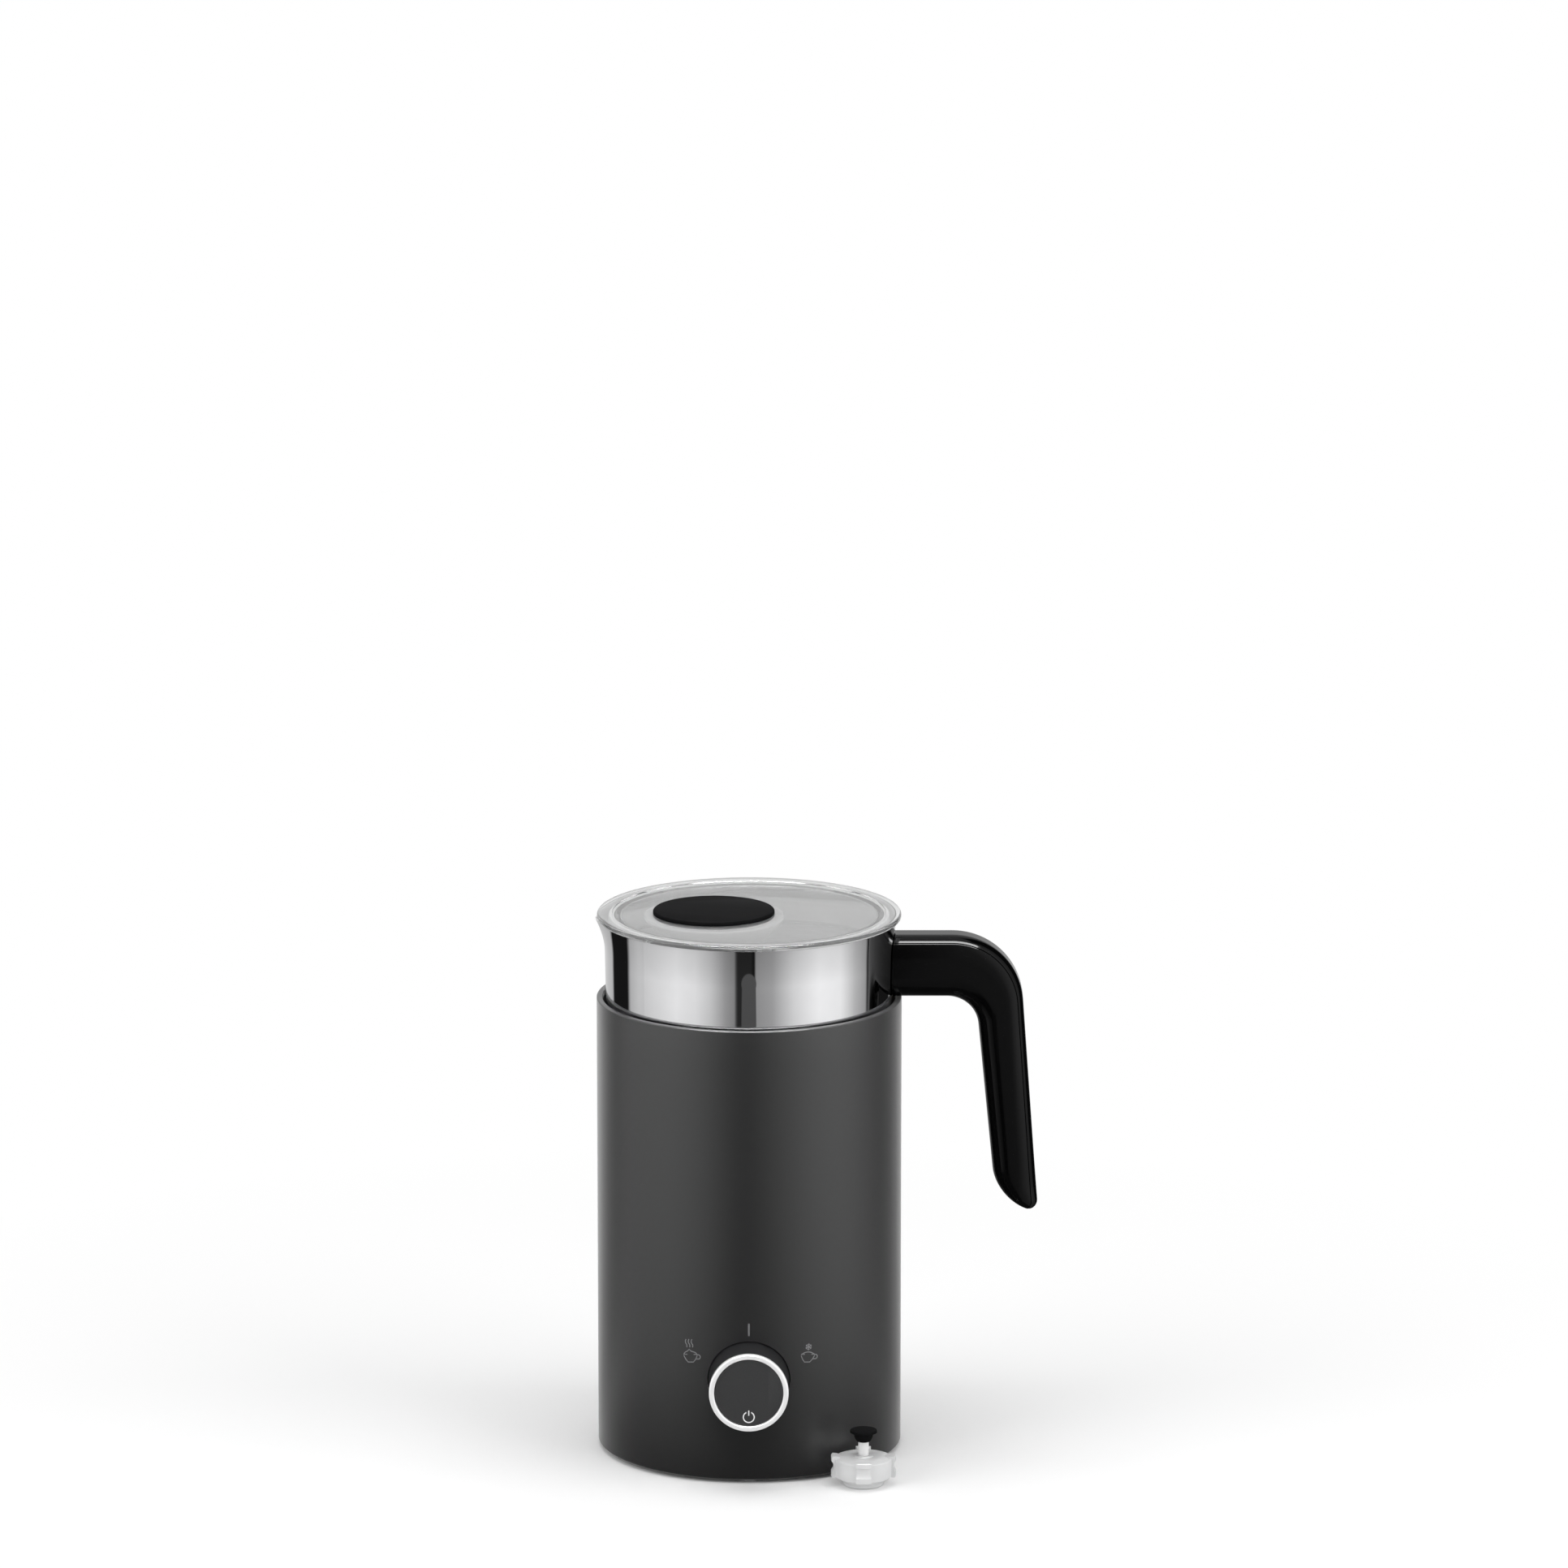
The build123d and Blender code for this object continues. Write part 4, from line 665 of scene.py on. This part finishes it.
# ---------------------------------------------------------------------------------------------
# Lid: clear moulded cover with a flange, a shallow recess and a skirt, a milky silicone band
# round the skirt, and the black cap that clips the whisk holder on.
# ---------------------------------------------------------------------------------------------
clear, clear_shader = new_material("clear_plastic", 0.02)
grain(
    clear, clear_shader, (0.9, 0.905, 0.905), (0.94, 0.945, 0.945), 30.0, 2.0, spread=0.008,
    stretch=(1, 0.12, 1), detail=1.0)
clear_shader.inputs["Transmission Weight"].default_value = 0.92
clear_shader.inputs["IOR"].default_value = 1.26
clear_shader.inputs["Coat Weight"].default_value = 0.5
clear_shader.inputs["Coat Roughness"].default_value = 0.02
lid_low, lid_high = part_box("lid_cover")
seal_low, seal_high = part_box("lid_seal")
cap_low, cap_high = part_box("lid_cap")
lid_top, lid_r = lid_high.z, lid_high.x
flange_t, recess, web_t = 2.2 * mm, 0.5 * mm, 2.0 * mm
edge_r, recess_r = 0.9 * mm, 51.8 * mm
skirt_r, skirt_inner_r = 51.2 * mm, 49.4 * mm
seal_foot = seal_low.z
neck_x, neck_r = (cap_low.x + cap_high.x) / 2, 21.4 * mm
soft_r = 0.35 * mm
cover_line = [
    (recess_r - soft_r, lid_top - recess), (recess_r - 0.1 * mm, lid_top - recess + 0.1 * mm),
    (recess_r, lid_top - soft_r), (recess_r + 0.12 * mm, lid_top - 0.1 * mm), (recess_r + soft_r, lid_top)]
cover_line += bow(lid_r - edge_r, lid_top - edge_r, edge_r, pi / 2, 0, 6)
cover_line += bow(lid_r - edge_r, lid_top - flange_t + edge_r, edge_r, 0, -pi / 2, 6)
cover_line += [(skirt_r + soft_r, lid_top - flange_t), (skirt_r, lid_top - flange_t - soft_r)]
cover_line += [(skirt_r, seal_foot), (skirt_r + 0.9 * mm, seal_foot)]
cover_line += [(skirt_r + 1.0 * mm, seal_foot - 0.1 * mm)]
cover_line += bow(skirt_r + 0.5 * mm, lid_low.z + 0.5 * mm, 0.5 * mm, 0, -pi / 2, 4)
cover_line += bow(skirt_inner_r + 0.5 * mm, lid_low.z + 0.5 * mm, 0.5 * mm, -pi / 2, -pi, 4)
cover_line += [(skirt_inner_r, lid_top - recess - web_t - 1.0 * mm)]
cover_line += [(skirt_inner_r - 1.0 * mm, lid_top - recess - web_t)]
cover_line = [(neck_r, lid_top - recess)] + cover_line + [(neck_r, lid_top - recess - web_t)]
lid_steps = 180
bm = turned_mesh(cover_line, lid_steps, neck_r, neck_x)
piece = finish_piece("lid_form", bm, clear, "lid")
shade(piece.data, 50)
even_flats(piece)
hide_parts("lid_cover")
milky, milky_shader = new_material("milky_silicone", 0.42)
grain(milky, milky_shader, (0.83, 0.835, 0.835), (0.85, 0.855, 0.855), 300.0, 0.03, spread=0.03)
milky_shader.inputs["Transmission Weight"].default_value = 0.25
seal_r, seal_inner_r = seal_high.x, skirt_r + 0.05 * mm
seal_line = [(seal_inner_r, seal_high.z - 0.05 * mm), (seal_r - 0.3 * mm, seal_high.z - 0.05 * mm)]
seal_line += [(seal_r, seal_high.z - 0.35 * mm)]
seal_line += bow(seal_r - edge_r, seal_low.z + edge_r, edge_r, 0, -pi / 2, 6)
seal_line += [(seal_inner_r, seal_low.z)]
bm = turned_mesh(seal_line, lid_steps)
piece = finish_piece("seal_form", bm, milky, "lid")
shade(piece.data, 50)
even_flats(piece)
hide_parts("lid_seal")
cap_finish, cap_shader = new_material("cap_plastic", 0.5)
grain(cap_finish, cap_shader, (0.006, 0.006, 0.0063), (0.008, 0.008, 0.0083), 900.0, 0.04, spread=0.03)
cap_shader.inputs["IOR"].default_value = 1.03
coat("lid_cap", cap_finish)

# ---------------------------------------------------------------------------------------------
# Whisk holder: one white moulding, a bell under the lid, a thinning stem, a flat fin and the
# open fork at the bottom.
# ---------------------------------------------------------------------------------------------
white_plastic, white_plastic_shader = new_material("white_plastic", 0.3)
grain(white_plastic, white_plastic_shader, (0.81, 0.81, 0.81), (0.83, 0.83, 0.83), 500.0, 0.03, spread=0.03)
white_plastic_shader.inputs["Subsurface Weight"].default_value = 0.6
white_plastic_shader.inputs["Subsurface Scale"].default_value = 5 * mm
white_plastic_shader.inputs["Subsurface Radius"].default_value = (1.0, 1.0, 1.0)
coat("whisk_holder", white_plastic)

# ---------------------------------------------------------------------------------------------
# Whisk and spare stirrer: milky hub on a white pin under a black cap; the whisk's hub carries a
# ring of fine stainless coil.
# ---------------------------------------------------------------------------------------------
milky_hub, hub_shader = new_material("milky_hub", 0.34)
grain(milky_hub, hub_shader, (0.86, 0.863, 0.865), (0.88, 0.883, 0.885), 300.0, 0.0, spread=0.02)
hub_shader.inputs["Transmission Weight"].default_value = 0.3
hub_shader.inputs["IOR"].default_value = 1.4
hub_r, hub_rim_z, hub_top_z = 10.9 * mm, 10.2 * mm, 11.3 * mm
tab_r, tab_half, tab_foot_z = 12.3 * mm, asin(2.75 / 11.6), 3.2 * mm
groove_x, groove_z, groove_r = 14.5 * mm, 7.4 * mm, 3.03 * mm


def hub_line(tab):
    """Half outline of the hub from its pocket's floor round to the underside, with or without a tab."""
    line = [
        (0, 3.3), (2.65, 3.3), (2.65, 6.5), (2.05, 6.5), (2.05, 11.1), (2.25, 11.3), (3.55, 11.3),
        (3.8, 11.05)]
    line = [(r * mm, z * mm) for r, z in line]
    for t in (0, 0.2, 0.4, 0.6, 0.8):
        line.append((3.8 * mm + 6.4 * mm * t, 10.85 * mm + (0.5 * sin(pi * t) - 0.35 * t) * mm))
    half_turn = acos((groove_x - tab_r) / groove_r)
    groove = bow(groove_x, groove_z, groove_r, pi - half_turn, pi + half_turn, 8)
    if tab:
        line += [(hub_r - 0.5 * mm, hub_top_z), (tab_r - 0.25 * mm, hub_top_z)]
        line += [(tab_r, hub_top_z - 0.25 * mm)]
        line += groove + [(tab_r, tab_foot_z + 0.25 * mm), (tab_r - 0.25 * mm, tab_foot_z)]
    else:
        line += [(hub_r - 0.5 * mm, hub_rim_z + 0.25 * mm), (hub_r - 0.12 * mm, hub_rim_z + 0.1 * mm)]
        line += [(hub_r, hub_rim_z - 0.15 * mm)]
        line += [(hub_r - 0.02 * mm * i, hub_rim_z - 0.8 * mm * (i + 0.5)) for i in range(9)]
        line += [(hub_r - 0.22 * mm, tab_foot_z + 0.2 * mm), (hub_r - 0.28 * mm, tab_foot_z + 0.1 * mm)]
    under = ((10.55, 3.2), (10.2, 2.95), (8.4, 1.75), (7.75, 1.4), (7.6, 1.2), (7.6, 0.2))
    line += [(r * mm, z * mm) for r, z in under]
    line += [(7.4 * mm, 0), (7.3 * mm, 0), (7.3 * mm, 0.05 * mm)]
    return line + [(3.2 * mm, 0.05 * mm), (3.2 * mm, 0), (0, 0)]


def hub_form(kind):
    """Hub drawn round its axis through its outline, which steps out at four tabs."""
    low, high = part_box(kind + "_hub")
    centre_x, centre_y = (low.x + high.x) / 2, (low.y + high.y) / 2
    rows = []
    for quarter in range(4):
        middle = quarter * pi / 2
        rows.append((middle - tab_half, False))
        rows += [(middle + tab_half * t, True) for t in (-0.995, -0.5, 0, 0.5, 0.995)]
        rows += [(middle + tab_half + (pi / 2 - 2 * tab_half) * t / 10, False) for t in range(10)]
    bm = bmesh.new()
    chains = []
    for turn, tab in rows:
        line = [
            bm.verts.new((centre_x + r * cos(turn), centre_y + r * sin(turn), low.z + z))
            for r, z in hub_line(tab)]
        chains.append([bm.edges.new(pair) for pair in zip(line, line[1:])])
    for a, b in zip(chains, chains[1:] + chains[:1]):
        bmesh.ops.bridge_loops(bm, edges=a + b)
    bmesh.ops.remove_doubles(bm, verts=bm.verts[:], dist=0.001 * mm)
    bmesh.ops.recalc_face_normals(bm, faces=bm.faces[:])
    piece = finish_piece(kind + "_hub_form", bm, milky_hub, kind + "_wheel")
    shade(piece.data, 35)
    even_flats(piece)
    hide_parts(kind + "_hub")


for kind in ("whisk", "spare"):
    hub_form(kind)
    coat(kind + "_axle", white_plastic)
    coat(kind + "_cap", cap_finish)

wire, wire_shader = new_material("coil_wire", 0.12, metallic=1.0)
grain(wire, wire_shader, (0.1, 0.1, 0.103), (0.15, 0.15, 0.153), 400.0, 0.0, spread=0.04)
coil_low, coil_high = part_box("whisk_coil")
coil_centre_z = (coil_low.z + coil_high.z) / 2
coil_half = (coil_high.z - coil_low.z) / 2
coil_ring_r = coil_high.x - coil_half
wire_r, coil_turns, points_per_turn = 0.36 * mm, 68, 14
route = bpy.data.curves.new("coil_route", "CURVE")
route.dimensions = "3D"
route.bevel_depth = wire_r
route.bevel_resolution = 2
total = coil_turns * points_per_turn
spline = route.splines.new("POLY")
spline.points.add(total - 1)
spline.use_cyclic_u = True
for i, point in enumerate(spline.points):
    around = 2 * pi * i / total
    twist = 2 * pi * i / points_per_turn
    radius = coil_ring_r + (coil_half - wire_r) * cos(twist)
    height = coil_centre_z + (coil_half - wire_r) * sin(twist)
    point.co = (radius * cos(around), radius * sin(around), height, 1)
route_object = bpy.data.objects.new("coil_route", route)
scene.collection.objects.link(route_object)
bpy.context.view_layer.update()
coil_mesh = bpy.data.meshes.new_from_object(route_object.evaluated_get(bpy.context.evaluated_depsgraph_get()))
bpy.data.objects.remove(route_object)
coil_piece = bpy.data.objects.new("coil_ring", coil_mesh)
scene.collection.objects.link(coil_piece)
coil_mesh.materials.clear()
coil_mesh.materials.append(wire)
for face in coil_mesh.polygons:
    face.use_smooth = True
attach(coil_piece, "whisk_wheel")
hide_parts("whisk_coil")

# ---------------------------------------------------------------------------------------------
# Studio: white floor and background, soft lamps on both sides and above, and a round screen of
# pale panels and dark flags that only polished surfaces see.
# ---------------------------------------------------------------------------------------------
# Tone of the screen by its bearing in degrees: 0 is the camera's side, positive to the right.
screen_tones = (
    (-88, 0.93), (-58, 1.22), (-42, 1.12), (-30, 0.86), (-18, 0.46), (-11, 0.34), (-9.5, 0.03),
    (2.0, 0.03), (3.0, 0.014), (4.5, 0.014), (5.5, 0.42), (18, 0.52), (35, 1.00), (56, 1.34), (76, 1.26),
    (92, 0.70), (104, 0.48), (107, 0.012), (147, 0.01), (150, 0.55), (166, 0.78), (194, 0.80),
    (221, 0.66), (225, 0.012), (249, 0.012), (253, 0.66), (264, 0.85),
)


def screen_tone(tree):
    """Colour output that follows the bearing round the upright axis."""
    place = tree.nodes.new("ShaderNodeTexCoord")
    bearing = tree.nodes.new("ShaderNodeTexGradient")
    bearing.gradient_type = "RADIAL"
    ramp = tree.nodes.new("ShaderNodeValToRGB")
    stops = ramp.color_ramp.elements
    while len(stops) > 1:
        stops.remove(stops[-1])
    stops[0].position = 0.0
    stops[0].color = (0.93, 0.93, 0.93, 1)
    for degrees_round, tone in screen_tones:
        stop = stops.new((degrees_round + 90) / 360)
        stop.color = (tone, tone, tone, 1)
    tree.links.new(place.outputs["Object"], bearing.inputs["Vector"])
    tree.links.new(bearing.outputs["Color"], ramp.inputs["Fac"])
    return ramp.outputs["Color"]


def glow(tree, strength):
    """White emission."""
    node = tree.nodes.new("ShaderNodeEmission")
    node.inputs["Strength"].default_value = strength
    return node


def gloss_source(name, bm, material_name, strength, place):
    """A glowing surface that only polished surfaces see; returns its nodes and its emission."""
    surface = loose_object(name, bm)
    surface.location = place
    material = new_material(material_name, 1.0)[0]
    tree = material.node_tree
    source = glow(tree, strength)
    tree.links.new(source.outputs["Emission"], tree.nodes["Material Output"].inputs["Surface"])
    material.cycles.emission_sampling = "NONE"
    surface.data.materials.append(material)
    for ray in ("camera", "diffuse", "shadow", "transmission"):
        setattr(surface, "visible_" + ray, False)
    return tree, source


screen_r, screen_h = 0.95, 2.4
bm = bmesh.new()
upright = [bm.verts.new((screen_r, 0, 0)), bm.verts.new((screen_r, 0, screen_h))]
spin_round(bm, upright + [bm.edges.new(upright)], 96)
screen_tree, screen_glow = gloss_source("screen", bm, "screen_tones", 1.0, (0, 0, 0))
screen_tree.links.new(screen_tone(screen_tree), screen_glow.inputs["Color"])

bm = bmesh.new()
bmesh.ops.create_grid(bm, x_segments=1, y_segments=1, size=0.5)
bmesh.ops.scale(bm, verts=bm.verts[:], vec=(1.6, 0.5, 1))
gloss_source("overhead_strip", bm, "strip_white", 34.0, (0, -0.42, 1.5))

bm = bmesh.new()
bmesh.ops.create_grid(bm, x_segments=1, y_segments=1, size=12.0)
floor = loose_object("floor", bm)
floor.location.z = -0.2 * mm


def blend_node(tree, kind, first, second):
    """A math node of the given kind."""
    node = tree.nodes.new("ShaderNodeMath")
    node.operation = kind
    for socket, source in zip(node.inputs, (first, second)):
        if isinstance(source, float):
            socket.default_value = source
        else:
            tree.links.new(source, socket)
    return node.outputs["Value"]


def mix_shaders(tree, factor, first, second):
    """Mixes two shaders by a factor."""
    mix = tree.nodes.new("ShaderNodeMixShader")
    tree.links.new(factor, mix.inputs["Fac"])
    tree.links.new(first, mix.inputs[1])
    tree.links.new(second, mix.inputs[2])
    return mix.outputs["Shader"]


def patch_place(tree, centre, size):
    """Place on the floor, measured from a centre in the given half sizes."""
    place = tree.nodes.new("ShaderNodeTexCoord")
    mapping = tree.nodes.new("ShaderNodeMapping")
    mapping.vector_type = "TEXTURE"
    mapping.inputs["Location"].default_value = (*centre, 0)
    mapping.inputs["Scale"].default_value = (*size, 1)
    tree.links.new(place.outputs["Object"], mapping.inputs["Vector"])
    return mapping.outputs["Vector"]


def round_patch(tree, centre, size):
    """1 at a centre on the floor, falling to 0 at an ellipse of the given half sizes."""
    ball = tree.nodes.new("ShaderNodeTexGradient")
    ball.gradient_type = "SPHERICAL"
    tree.links.new(patch_place(tree, centre, size), ball.inputs["Vector"])
    return ball.outputs["Fac"]


def diamond_patch(tree, centre, size):
    """1 at a centre on the floor, falling to 0 at a diamond of the given half sizes."""
    split = tree.nodes.new("ShaderNodeSeparateXYZ")
    tree.links.new(patch_place(tree, centre, size), split.inputs["Vector"])
    across = blend_node(tree, "ABSOLUTE", split.outputs["X"], 0.0)
    along = blend_node(tree, "ABSOLUTE", split.outputs["Y"], 0.0)
    return blend_node(tree, "SUBTRACT", 1.0, blend_node(tree, "ADD", across, along))


# Near the object the floor takes its soft shadow, further out it is plain white to the camera and
# seen through clear parts. Polished parts see the screen's tones on it and a dark mat in front.
floor_material, floor_shader = new_material("floor_white", 0.95)
floor_shader.inputs["Base Color"].default_value = (0.95, 0.95, 0.95, 1)
floor_shader.inputs["Specular IOR Level"].default_value = 0.0
floor_tree = floor_material.node_tree
path = floor_tree.nodes.new("ShaderNodeLightPath")
near = round_patch(floor_tree, (0, 0), (0.5, 0.5))
far_ramp = floor_tree.nodes.new("ShaderNodeMapRange")
far_ramp.inputs["From Min"].default_value = 0.62
far_ramp.inputs["From Max"].default_value = 0.1
floor_tree.links.new(near, far_ramp.inputs["Value"])
seen = blend_node(floor_tree, "MAXIMUM", path.outputs["Is Camera Ray"], path.outputs["Is Transmission Ray"])
far_white = blend_node(floor_tree, "MULTIPLY", seen, far_ramp.outputs["Result"])
floor_glow = glow(floor_tree, 1.0)
floor_look = mix_shaders(
    floor_tree, far_white, floor_shader.outputs["BSDF"], floor_glow.outputs["Emission"])
near_mat = diamond_patch(floor_tree, (0, -0.05), (0.17, 0.24))
front_mat = round_patch(floor_tree, (0, -0.68), (0.07, 0.13))
mat_patch = blend_node(floor_tree, "MAXIMUM", near_mat, front_mat)
mat_ramp = floor_tree.nodes.new("ShaderNodeMapRange")
mat_ramp.inputs["From Max"].default_value = 0.1
floor_tree.links.new(mat_patch, mat_ramp.inputs["Value"])
floor_tones = glow(floor_tree, 1.0)
floor_tree.links.new(screen_tone(floor_tree), floor_tones.inputs["Color"])
fade = floor_tree.nodes.new("ShaderNodeMapRange")
fade.inputs["From Max"].default_value = 0.9
fade.inputs["To Min"].default_value = 1.0
fade.inputs["To Max"].default_value = 0.42
floor_tree.links.new(round_patch(floor_tree, (0, 0), (screen_r, screen_r)), fade.inputs["Value"])
floor_tree.links.new(fade.outputs["Result"], floor_tones.inputs["Strength"])
floor_mat = glow(floor_tree, 0.09)
floor_gloss = mix_shaders(
    floor_tree, mat_ramp.outputs["Result"], floor_tones.outputs["Emission"], floor_mat.outputs["Emission"])
floor_look = mix_shaders(floor_tree, path.outputs["Is Glossy Ray"], floor_look, floor_gloss)
floor_tree.links.new(floor_look, floor_tree.nodes["Material Output"].inputs["Surface"])
floor_material.cycles.emission_sampling = "NONE"
floor.data.materials.append(floor_material)

world = bpy.data.worlds.new("studio")
scene.world = world
world.use_nodes = True
world_tree = world.node_tree
soft = world_tree.nodes["Background"]
soft.inputs["Color"].default_value = (1, 1, 1, 1)
soft.inputs["Strength"].default_value = 0.5
bright = world_tree.nodes.new("ShaderNodeBackground")
bright.inputs["Color"].default_value = (1, 1, 1, 1)
world_path = world_tree.nodes.new("ShaderNodeLightPath")
seen = blend_node(
    world_tree, "MAXIMUM", world_path.outputs["Is Camera Ray"], world_path.outputs["Is Transmission Ray"])
seen = blend_node(world_tree, "MAXIMUM", seen, world_path.outputs["Is Glossy Ray"])
world_look = mix_shaders(world_tree, seen, soft.outputs["Background"], bright.outputs["Background"])
world_tree.links.new(world_look, world_tree.nodes["World Output"].inputs["Surface"])


def soft_box(name, azimuth, distance, height, size, power):
    """Square area lamp that faces the object."""
    lamp = bpy.data.lights.new(name, "AREA")
    lamp.shape = "SQUARE"
    lamp.size = size
    lamp.energy = power
    box = bpy.data.objects.new(name, lamp)
    turn = radians(azimuth)
    box.location = (distance * sin(turn), -distance * cos(turn), height)
    aim = Vector((0, 0, 0.2)) - box.location
    box.rotation_euler = aim.to_track_quat("-Z", "Y").to_euler()
    box.visible_camera = False
    box.visible_glossy = False
    scene.collection.objects.link(box)


soft_box("soft_box_left", -62, 1.7, 0.9, 1.5, 15)
soft_box("soft_box_right", 62, 1.7, 0.9, 1.5, 17)
soft_box("soft_box_top", 0, 0.1, 2.2, 1.6, 16)

# Camera: far off and slightly above, framed so that the lifted jug, whisk and lid stay in view.
distance, elevation, frame_width = 3.5, radians(12.5), 0.5933
target = Vector((13.25 * mm, 0, 258.2 * mm))
camera_data = bpy.data.cameras.new("camera")
camera_data.sensor_width = 36.0
camera_data.lens = 36.0 * distance / frame_width
camera_data.clip_end = 50.0
camera = bpy.data.objects.new("camera", camera_data)
camera.location = target + Vector((0, -cos(elevation), sin(elevation))) * distance
camera.rotation_euler = (target - camera.location).to_track_quat("-Z", "Y").to_euler()
scene.collection.objects.link(camera)
scene.camera = camera
scene.view_settings.view_transform = "Standard"
